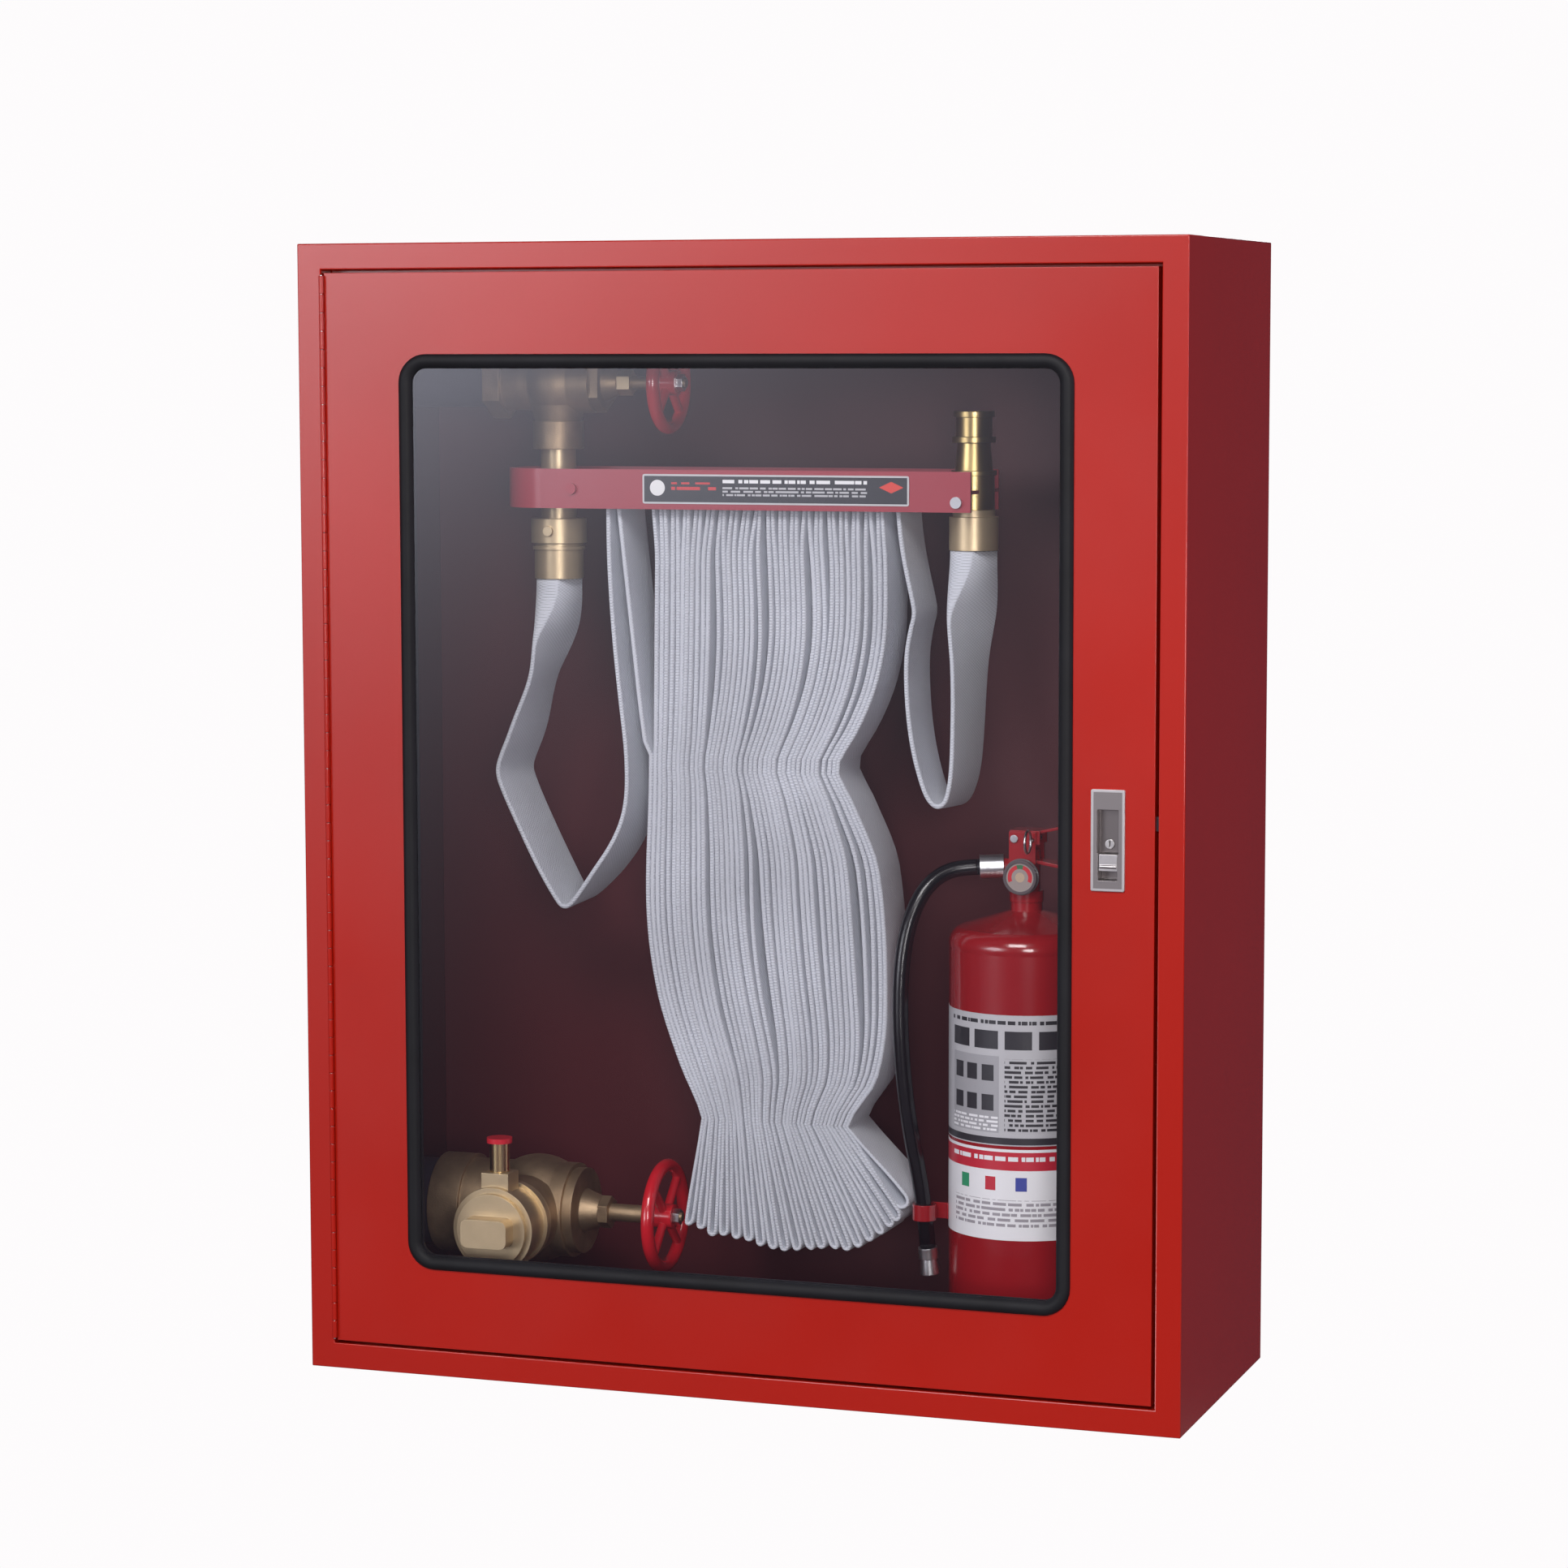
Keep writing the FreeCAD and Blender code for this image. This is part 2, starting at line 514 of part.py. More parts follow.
def pins_row(radius, length):
    """The pins that carry the folds, with one more that carries the loose first fold."""
    places = ["loose_pin"]
    places += ["pin_first + %d * pin_step" % index for index in range(int(value_of("pin_count")))]
    back = "riser_y - %s" % (length / 2)
    return [rod((place_x, back, "rack_z - 8"), "y", radius, length) for place_x in places]


# ---------------------------------------------------------------- hose and nozzle
LEFT_TAIL = [(-216, 203), (-216, 172), (-226, 132), (-242, 92), (-256, 52), (-259, 22), (-249, -12),
             (-234, -46), (-218, -76), (-206, -88), (-190, -84), (-167, -66), (-147, -38), (-137, 0),
             (-138, 44), (-145, 96), (-151, 150), (-155, 205), (-156.3, 243), (-156.3, 281)]
FIRST_FOLD = [(-156.3, 281), (-155, 287.5), (-148, 287.5), (-146.4, 278), (-143, 235), (-137, 180),
              (-130, 115), (-120, 50)]
RIGHT_TAIL = [(113, 281), (113.5, 258), (120, 222), (126, 184), (121, 156), (121, 116), (124, 76),
              (130, 40), (140, 14), (153, 9), (163, 28), (167, 62), (168, 102), (170, 142),
              (172.5, 182), (173, 233)]


def rounded_path(points, report=""):
    """Straight runs joined by tangent arcs, each as large as its two runs allow."""
    edges, radii = [], []
    start = points[0]
    for before, here, after in zip(points, points[1:], points[2:]):
        run_in = (here - before).Length
        run_out = (after - here).Length
        turn = (here - before).getAngle(after - here)
        reach = 0.45 * min(run_in, run_out)
        radii.append(round(reach / math.tan(turn / 2), 1))
        first = here + (before - here).normalize() * reach
        last = here + (after - here).normalize() * reach
        bisector = ((before - here).normalize() + (after - here).normalize()).normalize()
        radius = reach / math.tan(turn / 2)
        middle = here + bisector * (math.hypot(radius, reach) - radius)
        edges.append(Part.LineSegment(start, first).toShape())
        edges.append(Part.Arc(first, middle, last).toShape())
        start = last
    edges.append(Part.LineSegment(start, points[-1]).toShape())
    wire = Part.Wire(edges)
    print(report, "length", round(wire.Length, 1), "radii", radii)
    return wire


def flat_hose(points, report):
    """Lay-flat hose: a flat ribbon whose width lies along Y."""
    y = value_of("riser_y")
    gauge = value_of("hose_gauge")
    width = value_of("hose_width")
    path = rounded_path([V(px, y, pz) for px, pz in points], report)
    start = path.Edges[0].valueAt(path.Edges[0].FirstParameter)
    tangent = path.Edges[0].tangentAt(path.Edges[0].FirstParameter)
    side = V(0, 1, 0)
    across = tangent.cross(side)
    corners = [start + side * (sy * width / 2) + across * (sa * gauge / 2)
               for sy, sa in ((-1, -1), (1, -1), (1, 1), (-1, 1), (-1, -1))]
    ribbon = path.makePipeShell([Part.makePolygon(corners)], True, False)
    print(report, "volume ratio", round(ribbon.Volume / (gauge * width * path.Length), 4))
    return ribbon


def hose_pack():
    """Outer shape of the hung folds: two waisted sides and a bowed bottom."""
    left = [(-115, 283), (-118, 140), (-120, 20), (-124, -90), (-116, -165), (-92, -228), (-73, -280),
            (-88, -325), (-92, -364)]
    bottom = [(-92, -364), (-40, -380), (35, -385), (92, -372), (122, -332)]
    right = [(122, -332), (104, -300), (72, -274), (97, -232), (103, -170), (96, -48), (66, 44),
             (101, 108), (109, 170), (107, 283)]
    y = value_of("riser_y")
    half = value_of("hose_width") / 2
    edges = []
    for outline in (left, bottom, right):
        curve = Part.BSplineCurve()
        curve.interpolate([V(px, y - half, pz) for px, pz in outline])
        edges.append(curve.toShape())
    corners = [V(px, y - half, pz) for px, pz in (right[-1], left[0])]
    edges.append(Part.LineSegment(*corners).toShape())
    folds = Part.Face(Part.Wire(edges)).extrude(V(0, 2 * half, 0))
    folds = folds.fuse(flat_hose(FIRST_FOLD, "first fold"))
    for index in range(int(value_of("pin_count"))):
        pin_x = value_of("pin_first") + index * value_of("pin_step")
        start = V(pin_x, y - half - 1, value_of("rack_z") - 8)
        folds = folds.cut(Part.makeCylinder(value_of("hose_pin_rad"), 2 * half + 2, start, V(0, 1, 0)))
    return folds


def hose():
    x, y = "nipple_x", "riser_y"
    crown = rod((x, y, "235"), "z", "25", "22")
    lugs = [rod((x, y, "246"), axis, "4.5", "28") for axis in ("-y", "y")]
    node("swivel_ring", cut(fuse(crown, *lugs), rod((x, y, "200"), "z", "nipple_rad + 0.3", "100")))
    sleeve = fuse(rod((x, y, "203"), "z", "22", "31.7"), rod((x, y, "229"), "z", "23.5", "3"))
    node("hose_inlet_coupling", cut(sleeve, rod((x, y, "190"), "z", "14", "60")))
    node("hose_tail_left", shaped(flat_hose(LEFT_TAIL, "left tail")))
    node("hose_tail_right", shaped(flat_hose(RIGHT_TAIL, "right tail")))
    node("hose_pack", shaped(hose_pack()))

    nx = "nozzle_x"
    coupling = fuse(rod((nx, y, "233.5"), "z", "21.5", "29"), rod((nx, y, "262.5"), "z", "18.5", "6"))
    node("hose_outlet_coupling", cut(coupling, rod((nx, y, "220"), "z", "13", "60")))
    barrel = fuse(rod((nx, y, "268.5"), "z", "18", "30"), rod((nx, y, "298.5"), "z", "20", "4"),
                  taper((nx, y, "302.5"), "z", "16.5", "14.5", "24"))
    node("nozzle_body", cut(barrel, rod((nx, y, "260"), "z", "9", "80")))
    tip = fuse(rod((nx, y, "326.8"), "z", "19", "5"), rod((nx, y, "331.8"), "z", "16", "17"),
               rod((nx, y, "348.8"), "z", "18", "5"))
    node("nozzle_tip", cut(tip, rod((nx, y, "320"), "z", "8", "40")))


# ---------------------------------------------------------------- extinguisher
EXT_HOSE = [(181, -156, -43), (168, -160, -43.5), (153, -167, -47), (140, -177, -58),
            (130.5, -185, -77), (124.5, -191, -101), (121.5, -195, -130), (121, -197, -164),
            (122.5, -198, -200), (125.5, -197, -238), (130, -194, -276), (135.5, -188, -312),
            (139, -182, -346), (141, -179, -379)]


def extinguisher():
    bottle()
    bottle_head()
    bottle_hose()
    axis = bottle_axis()
    radius = value_of("ext_rad")
    labels = []
    for low, high in ((-277, -163), (-360, -280)):
        foot = axis + V(0, 0, low)
        skin = Part.makeCylinder(radius + 0.25, high - low, foot, V(0, 0, 1), 200)
        skin.rotate(axis, V(0, 0, 1), 150)
        labels.append(skin.cut(Part.makeCylinder(radius, high - low, foot)))
    node("ext_labels", shaped(Part.makeCompound(labels)))


def bottle_axis():
    return V(value_of("ext_x"), value_of("riser_y"), 0)


def bottle_skin(inset):
    """The bottle's outline turned about its axis, shrunk by a given inset."""
    foot = -value_of("cab_height") / 2 + value_of("wall_gauge") + inset
    top = -80 - inset * 0.4
    shoulder = value_of("ext_shoulder")
    wide = value_of("ext_rad") - inset
    points = [V(0, 0, foot), V(wide - 6, 0, foot), V(wide, 0, foot + 6), V(wide, 0, shoulder),
              V(wide - 9, 0, shoulder + 18), V(14, 0, top), V(0, 0, top)]
    lines = [Part.LineSegment(a, b).toShape() for a, b in zip(points, points[1:] + points[:1])]
    lines[1] = Part.Arc(points[1], V(wide - 1.8, 0, foot + 1.8), points[2]).toShape()
    lines[3] = Part.Arc(points[3], V(wide - 2, 0, shoulder + 12), points[4]).toShape()
    return Part.Face(Part.Wire(lines)).revolve(V(0, 0, 0), V(0, 0, 1), 360)


def bottle():
    neck = Part.makeCylinder(14, 14, V(0, 0, -86))
    mouth = Part.makeCylinder(9, 40, V(0, 0, -100))
    vessel = bottle_skin(0).fuse(neck).cut(bottle_skin(value_of("ext_gauge"))).cut(mouth)
    vessel.translate(bottle_axis())
    node("ext_cylinder", shaped(vessel))


def bottle_head():
    """Valve, gauge, siphon tube, handle, lever, rivet and safety pin."""
    x, y = "ext_x", "riser_y"
    outlet_z, gauge_z, pivot_z, safety_z = "-43", "-49", "-16", "-17"
    pivot_x, safety_x = x + " - 7", x + " + 9"
    head = fuse(rod((x, y, "-72"), "z", "15", "10"), rod((x, y, "-62"), "z", "12", "36"),
                rod((x, y, outlet_z), "-x", "8", "22"), rod((x, y, gauge_z), "-y", "7", "16"),
                rod((x, y, "-96"), "z", "8.9", "30"))
    node("ext_valve", cut(head, rod((x, y, "-110"), "z", "4.1", "70"),
                          rod((x, y, outlet_z), "-x", "4", "40")))
    node("ext_siphon_tube", cut(rod((x, y, "-478"), "z", "4", "400"),
                                rod((x, y, "-480"), "z", "3", "500")))
    dial = fuse(rod((x, y + " - 16", gauge_z), "-y", "15", "7"),
                rod((x, y + " - 16", gauge_z), "-y", "16", "2"))
    node("ext_gauge", cut(dial, rod((x, y + " - 22", gauge_z), "-y", "12.5", "3")))

    handle = shaped(lever_shape([(-8, -34), (10, -36), (45, -42), (92, -40), (104, -46)], 20, 3))
    valve_cuts = [rod((x, y, "-60"), "z", "12.05", "40"),
                  rod((x, y, outlet_z), "-x", "8.05", "22")]
    cheeks = [box((x + " - 12", y + " + %s" % offset, "-38"), ("24", "2.5", "28"))
              for offset in (-15, 12.5)]
    floor_plate = box((x + " - 12", y + " - 15", "-38"), ("24", "30", "3"))
    pivot_hole = rod((pivot_x, y + " - 30", pivot_z), "y", "2.05", "60")
    safety_hole = rod((safety_x, y + " - 30", safety_z), "y", "1.8", "60")
    node("ext_carry_handle", cut(fuse(handle, floor_plate, *cheeks),
                                 *valve_cuts, pivot_hole, safety_hole))
    lever = shaped(lever_shape([(-4, -10.3), (14, -10.3), (50, -2), (96, 6), (106, 2)], 20, 2.5))
    walls = [box((x + " - 12", y + " + %s" % offset, "-21"), ("27", "2", "12"))
             for offset in (-12.2, 10.2)]
    web = box((x + " - 12", y + " - 12.2", "-11.5"), ("27", "24.4", "2.5"))
    safety_slot = box((safety_x + " - 2", y + " - 30", "-19"), ("4", "60", "7.4"))
    lever_hole = rod((pivot_x, y + " - 30", pivot_z), "y", "2.05", "60")
    node("ext_squeeze_lever", cut(fuse(lever, web, *walls), lever_hole, safety_slot))
    rivet = fuse(rod((pivot_x, y + " - 16", pivot_z), "y", "2", "32"),
                 rod((pivot_x, y + " - 17.2", pivot_z), "y", "3.4", "1.2"),
                 rod((pivot_x, y + " + 16", pivot_z), "y", "3.4", "1.2"))
    node("ext_lever_pivot", rivet)
    node("ext_safety_pin", fuse(rod((safety_x, y + " - 20", safety_z), "y", "1.5", "38"),
                                ring((safety_x, y + " - 29", safety_z), "x", "9.5", "1.2")))


def bottle_hose():
    """Discharge hose with its ferrule and nozzle, and the clip that holds it to the bottle."""
    axis = bottle_axis()
    radius = value_of("ext_rad")
    hose_rad = value_of("ext_hose_rad")
    route = [V(*point) for point in EXT_HOSE]
    path = rounded_path(route, "extinguisher hose")
    circle = Part.Wire([Part.Circle(route[0], route[1] - route[0], hose_rad).toShape()])
    tube = path.makePipeShell([circle], True, False)
    print("extinguisher hose volume ratio",
          round(tube.Volume / (math.pi * hose_rad ** 2 * path.Length), 4))
    node("ext_hose", shaped(tube))
    ferrule = Part.makeCylinder(10.5, 21, route[0], route[0] - route[1])
    boss = Part.makeCylinder(8.05, 30, axis + V(0, 0, -43), V(-1, 0, 0))
    node("ext_hose_ferrule", shaped(ferrule.cut(boss)))
    last = route[-1]
    out = (route[-1] - route[-2]).normalize()
    nozzle = Part.makeCylinder(8.5, 10, last, out).fuse(
        Part.makeCone(7, 8.5, 14, last + out * 10, out))
    node("ext_nozzle", shaped(nozzle.cut(Part.makeCylinder(3.5, 40, last, out))))

    low, height = value_of("clip_z"), value_of("clip_height")
    foot = axis + V(0, 0, low)
    room = Part.makeCylinder(radius + 0.3, height, foot)
    band = Part.makeCylinder(radius + 1.8, height, foot, V(0, 0, 1), 200)
    arm = Part.makeBox(26, 3, height, V(136, -172, low))
    centre = point_on_path(path, low + height / 2)
    centre.z = low
    cup = Part.makeCylinder(hose_rad + 3.6, height, centre)
    grip = Part.makeCylinder(hose_rad + 1.2, height, centre)
    node("ext_hose_clip", shaped(band.fuse(arm).fuse(cup).cut(grip).cut(room).removeSplitter()))


def point_on_path(path, height):
    """The point of a path that lies nearest to a given height."""
    return min(path.discretize(Number=400), key=lambda spot: abs(spot.z - height))


def lever_shape(points, width, gauge):
    """A bent strip, given by its side line from the valve's axis outwards."""
    axis_x, axis_y = value_of("ext_x"), value_of("riser_y")
    line = [V(axis_x + px, axis_y - width / 2, pz) for px, pz in points]
    upper, lower = [], []
    for index, spot in enumerate(line):
        before = line[max(index - 1, 0)]
        after = line[min(index + 1, len(line) - 1)]
        normal = (after - before).normalize().cross(V(0, 1, 0)) * (gauge / 2)
        upper.append(spot + normal)
        lower.append(spot - normal)
    outline = upper + lower[::-1] + upper[:1]
    return Part.Face(Part.makePolygon(outline)).extrude(V(0, width, 0))


def check_and_write():
    DOC.recompute()
    for obj in DOC.Objects:
        bad = [flag for flag in obj.State if flag in ("Invalid", "Error")]
        if bad:
            raise RuntimeError("%s (%s) is %s" % (obj.Name, obj.Label, bad))
    os.makedirs("parts", exist_ok=True)
    for name in os.listdir("parts"):
        os.remove(os.path.join("parts", name))
    for obj in NODES:
        shape = obj.Shape
        if shape.isNull() or not shape.isValid() or not shape.Solids:
            raise RuntimeError("bad shape: " + obj.Label)
        shape.exportStep("parts/%s.step" % obj.Label)
        bounds = shape.BoundBox
        print("%-22s solids %2d  x %7.1f %7.1f  y %7.1f %7.1f  z %7.1f %7.1f" % (
            obj.Label, len(shape.Solids), bounds.XMin, bounds.XMax, bounds.YMin, bounds.YMax,
            bounds.ZMin, bounds.ZMax))


cabinet()
door()
piano_hinge()
flush_lock()
upper_valve()
lower_valve()
hose_rack()
hose()
extinguisher()
check_and_write()
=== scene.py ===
import bpy
import bmesh
import math
import random
from mathutils import Matrix, Vector


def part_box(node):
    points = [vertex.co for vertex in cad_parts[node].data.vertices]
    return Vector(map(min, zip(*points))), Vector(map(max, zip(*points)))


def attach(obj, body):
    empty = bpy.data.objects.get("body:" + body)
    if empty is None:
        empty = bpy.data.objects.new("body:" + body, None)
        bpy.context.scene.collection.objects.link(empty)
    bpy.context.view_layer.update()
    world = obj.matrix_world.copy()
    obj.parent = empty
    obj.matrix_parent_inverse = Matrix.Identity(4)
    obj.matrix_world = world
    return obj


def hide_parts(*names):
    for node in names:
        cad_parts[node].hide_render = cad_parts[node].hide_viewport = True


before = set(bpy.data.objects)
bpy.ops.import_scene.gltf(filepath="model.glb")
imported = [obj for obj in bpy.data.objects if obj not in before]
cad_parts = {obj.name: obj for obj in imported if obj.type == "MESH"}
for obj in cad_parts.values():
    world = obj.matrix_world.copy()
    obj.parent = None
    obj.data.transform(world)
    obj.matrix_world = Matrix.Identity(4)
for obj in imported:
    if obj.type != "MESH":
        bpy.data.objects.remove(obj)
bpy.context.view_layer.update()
MM = 0.001

# paints and metals that more than one material uses, the darker inner red that is painted shade, and the
# white the camera sees
DOOR_RED = (0.39, 0.0100, 0.0035)
# painted shade: the inside of the box gets this darker red in place of the shade that falls in it
INNER_RED_PAINTED_SHADE = (0.072, 0.0045, 0.0075)
RACK_RED = (0.35, 0.032, 0.05)
PLUNGER_BRASS = (0.86, 0.66, 0.34)
SCREW_ZINC = (0.5, 0.5, 0.52)
BACKDROP = (0.985, 0.968, 0.975, 1)
CLOUD = (0.3, 0.7)          # the part of a soft noise's range that is spread over 0 to 1


# ------------------------------------------------------------------ places read from the frame
SHELL_LOW, SHELL_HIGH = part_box("cabinet_shell")
SHELL_FRONT = -300 * MM
PACK_LOW, PACK_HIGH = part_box("hose_pack")
HOSE_Y = (PACK_LOW[1] + PACK_HIGH[1]) / 2
HOSE_WIDTH = PACK_HIGH[1] - PACK_LOW[1]
BOTTLE_LOW, BOTTLE_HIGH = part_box("ext_cylinder")
BOTTLE_X = (BOTTLE_LOW[0] + BOTTLE_HIGH[0]) / 2
BOTTLE_Y = (BOTTLE_LOW[1] + BOTTLE_HIGH[1]) / 2
PLATE_LOW, PLATE_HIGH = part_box("rack_nameplate")
PIN_LOW, PIN_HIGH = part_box("hose_pins")
PIN_Z = (PIN_LOW[2] + PIN_HIGH[2]) / 2 / MM
SEAL_LOW, SEAL_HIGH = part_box("window_gasket")

# the pins along the rack, in millimetres of X: one for the first fold, and one for each of the rest
LOOSE_PIN = -151.5
FOLDS, FIRST_PIN, PIN_PITCH = 20, -110, 11.2
PINS = [FIRST_PIN + PIN_PITCH * index for index in range(FOLDS)]

# the tails' control points in millimetres of X and Z, and the bottle hose's in X, Y and Z
LEFT_TAIL = [(-216, 203), (-216, 172), (-224, 140), (-237, 100), (-249, 62), (-258, 42), (-262, 29),
             (-257, 14), (-243, -16), (-225, -52), (-208, -82), (-202, -91), (-193, -86), (-172, -62),
             (-150, -32), (-138, 0), (-138, 44), (-145, 96), (-151, 150), (-155, 205), (-156.3, 243),
             (-156.3, 281)]
RIGHT_TAIL = [(113, 281), (114, 258), (119, 224), (127, 190), (129, 178), (125, 164), (121, 140),
              (122, 100), (127, 60), (137, 24), (144, 12), (152, 9), (160, 16), (166, 40), (168, 80),
              (169, 120), (170, 160), (172.5, 196), (173, 233)]
EXT_HOSE = [(181, -156, -43), (168, -160, -43.5), (153, -167, -47), (140, -177, -58),
            (130.5, -185, -77), (124.5, -191, -101), (121.5, -195, -130), (121, -197, -164),
            (122.5, -198, -200), (125.5, -197, -238), (130, -194, -276), (135.5, -188, -312),
            (139, -182, -346), (141, -179, -379)]


def metres(*values):
    return Vector([value * MM for value in values])


def ease(share):
    """Smooth step: 0 to 1 with level ends."""
    return share * share * (3 - 2 * share)


def shade(colour, factor):
    return tuple(min(1, channel * factor) for channel in colour)


# ------------------------------------------------------------------ camera and light
def make_camera():
    azimuth, elevation, roll = (math.radians(a) for a in (19.222, 5.900, -0.116))
    distance = 3.7643
    aim = Vector((-0.00224, -0.150, 0.0233))
    forward = Vector((-math.sin(azimuth) * math.cos(elevation),
                      math.cos(azimuth) * math.cos(elevation), -math.sin(elevation)))
    side = Vector((math.cos(azimuth), math.sin(azimuth), 0))
    rise = side.cross(forward)
    right = side * math.cos(roll) + rise * math.sin(roll)
    up = rise * math.cos(roll) - side * math.sin(roll)
    data = bpy.data.cameras.new("camera")
    data.sensor_width = 36
    data.lens = 97.29
    data.clip_end = 50
    camera = bpy.data.objects.new("camera", data)
    bpy.context.collection.objects.link(camera)
    turn = Matrix((right, up, -forward)).transposed().to_4x4()
    camera.matrix_world = Matrix.Translation(aim - forward * distance) @ turn
    bpy.context.scene.camera = camera


def soft_light(name, place, aim, size, power, colour=(1, 1, 1)):
    data = bpy.data.lights.new(name, "AREA")
    data.shape = "RECTANGLE"
    data.size, data.size_y = size
    data.energy = power
    data.color = colour
    light = bpy.data.objects.new(name, data)
    bpy.context.collection.objects.link(light)
    light.location = place
    light.rotation_mode = "QUATERNION"
    light.rotation_quaternion = (Vector(aim) - Vector(place)).to_track_quat("-Z", "Y")
    return light


MIX_UNDER, MIX_OVER, MIX_RESULT = 6, 7, 2          # the colour sockets of Blender's Mix node


def studio_world():
    """White behind the object; for everything else, a dim room with one soft glow at the left."""
    world = bpy.data.worlds.new("studio")
    bpy.context.scene.world = world
    world.use_nodes = True
    nt = world.node_tree
    nt.nodes.clear()
    out = nt.nodes.new("ShaderNodeOutputWorld")
    mix = nt.nodes.new("ShaderNodeMixShader")
    seen = nt.nodes.new("ShaderNodeBackground")
    lit = nt.nodes.new("ShaderNodeBackground")
    path = nt.nodes.new("ShaderNodeLightPath")
    seen.inputs["Color"].default_value = BACKDROP
    coords = nt.nodes.new("ShaderNodeTexCoord")
    parts = nt.nodes.new("ShaderNodeSeparateXYZ")
    nt.links.new(coords.outputs["Generated"], parts.inputs[0])
    x, y, z = parts.outputs
    glow_azimuth, glow_height, squeeze = math.radians(33), math.radians(7), 1.6
    edge, fade, brightest = math.radians(10.0), math.radians(4.3), 7.6
    azimuth = maths(nt, "ARCTAN2", maths(nt, "MULTIPLY", x, -1), maths(nt, "MULTIPLY", y, -1))
    height = maths(nt, "ARCSINE", z)
    off_a = maths(nt, "SUBTRACT", azimuth, glow_azimuth)
    off_h = maths(nt, "MULTIPLY", maths(nt, "SUBTRACT", height, glow_height), squeeze)
    reach = maths(nt, "SQRT", maths(nt, "ADD", maths(nt, "MULTIPLY", off_a, off_a),
                                    maths(nt, "MULTIPLY", off_h, off_h)))
    past = maths(nt, "MAXIMUM", maths(nt, "SUBTRACT", reach, edge), 0.0)
    glow = maths(nt, "MULTIPLY", maths(nt, "EXPONENT", maths(nt, "DIVIDE", past, -fade)), brightest)
    tint = nt.nodes.new("ShaderNodeMix")
    tint.data_type = "RGBA"
    room, lamp = (0.08, 0.055, 0.078, 1), (0.92, 0.93, 1.0, 1)
    tint.inputs[MIX_UNDER].default_value = room
    tint.inputs[MIX_OVER].default_value = lamp
    nt.links.new(maths(nt, "MINIMUM", glow, 1.0), tint.inputs[0])
    nt.links.new(tint.outputs[MIX_RESULT], lit.inputs["Color"])
    nt.links.new(maths(nt, "MAXIMUM", glow, 1.0), lit.inputs["Strength"])
    nt.links.new(path.outputs["Is Camera Ray"], mix.inputs["Fac"])
    nt.links.new(lit.outputs[0], mix.inputs[1])
    nt.links.new(seen.outputs[0], mix.inputs[2])
    nt.links.new(mix.outputs[0], out.inputs["Surface"])


def make_floor():
    """A grey floor for the light, which the camera sees as the same white as the backdrop."""
    half, low = 2.2, -1.15
    mesh = bpy.data.meshes.new("floor")
    corners = [(-half, -half, low), (half, -half, low), (half, half, low), (-half, half, low)]
    mesh.from_pydata(corners, [], [(0, 1, 2, 3)])
    floor = bpy.data.objects.new("floor", mesh)
    bpy.context.collection.objects.link(floor)
    mat, nt, shader = material("studio_floor", (0.25, 0.24, 0.25), 0.9)
    out = [n for n in nt.nodes if n.type == "OUTPUT_MATERIAL"][0]
    pale = nt.nodes.new("ShaderNodeEmission")
    pale.inputs["Color"].default_value = BACKDROP
    path = nt.nodes.new("ShaderNodeLightPath")
    mix = nt.nodes.new("ShaderNodeMixShader")
    nt.links.new(path.outputs["Is Camera Ray"], mix.inputs["Fac"])
    nt.links.new(shader.outputs[0], mix.inputs[1])
    nt.links.new(pale.outputs[0], mix.inputs[2])
    nt.links.new(mix.outputs[0], out.inputs["Surface"])
    mesh.materials.append(mat)


def make_studio():
    bpy.context.scene.view_settings.view_transform = "Standard"
    studio_world()
    make_floor()
    middle = (0, -0.15, 0)
    soft_light("key", (0.3, -3.6, 2.3), middle, (1.8, 1.2), 104, (1, 0.985, 0.98))
    soft_light("fill", (1.5, -3.9, 0.35), middle, (0.9, 1.0), 44, (1, 0.98, 0.98))
    soft_light("back", (-1.2, 3.8, 0.3), middle, (2.0, 2.0), 70, (1, 0.98, 0.98))
    soft_light("side", (3.2, -0.6, 1.1), middle, (1.2, 2.0), 36, (0.97, 0.84, 1))


# ------------------------------------------------------------------ material helpers
def material(name, colour, rough, metal=0.0, coat=0.0, specular=0.5):
    mat = bpy.data.materials.new(name)
    mat.use_nodes = True
    nt = mat.node_tree
    shader = nt.nodes["Principled BSDF"]
    shader.inputs["Base Color"].default_value = (*colour, 1)
    shader.inputs["Roughness"].default_value = rough
    shader.inputs["Metallic"].default_value = metal
    shader.inputs["Coat Weight"].default_value = coat
    shader.inputs["Coat Roughness"].default_value = 0.08
    shader.inputs["Specular IOR Level"].default_value = specular
    return mat, nt, shader


def place_socket(nt):
    found = [n for n in nt.nodes if n.type == "TEX_COORD"]
    node = found[0] if found else nt.nodes.new("ShaderNodeTexCoord")
    return node.outputs["Object"]


def maths(nt, kind, a, b=0.0, c=0.0, clamp=False):
    node = nt.nodes.new("ShaderNodeMath")
    node.operation = kind
    node.use_clamp = clamp
    for socket, value in zip(node.inputs, (a, b, c)):
        if isinstance(value, (int, float)):
            socket.default_value = value
        else:
            nt.links.new(value, socket)
    return node.outputs[0]


def noise(nt, scale, detail=3.0, stretch=(1, 1, 1), rough=0.5):
    mapping = nt.nodes.new("ShaderNodeMapping")
    mapping.inputs["Scale"].default_value = stretch
    nt.links.new(place_socket(nt), mapping.inputs["Vector"])
    node = nt.nodes.new("ShaderNodeTexNoise")
    node.inputs["Scale"].default_value = scale
    node.inputs["Detail"].default_value = detail
    node.inputs["Roughness"].default_value = rough
    nt.links.new(mapping.outputs[0], node.inputs["Vector"])
    return node.outputs["Fac"]


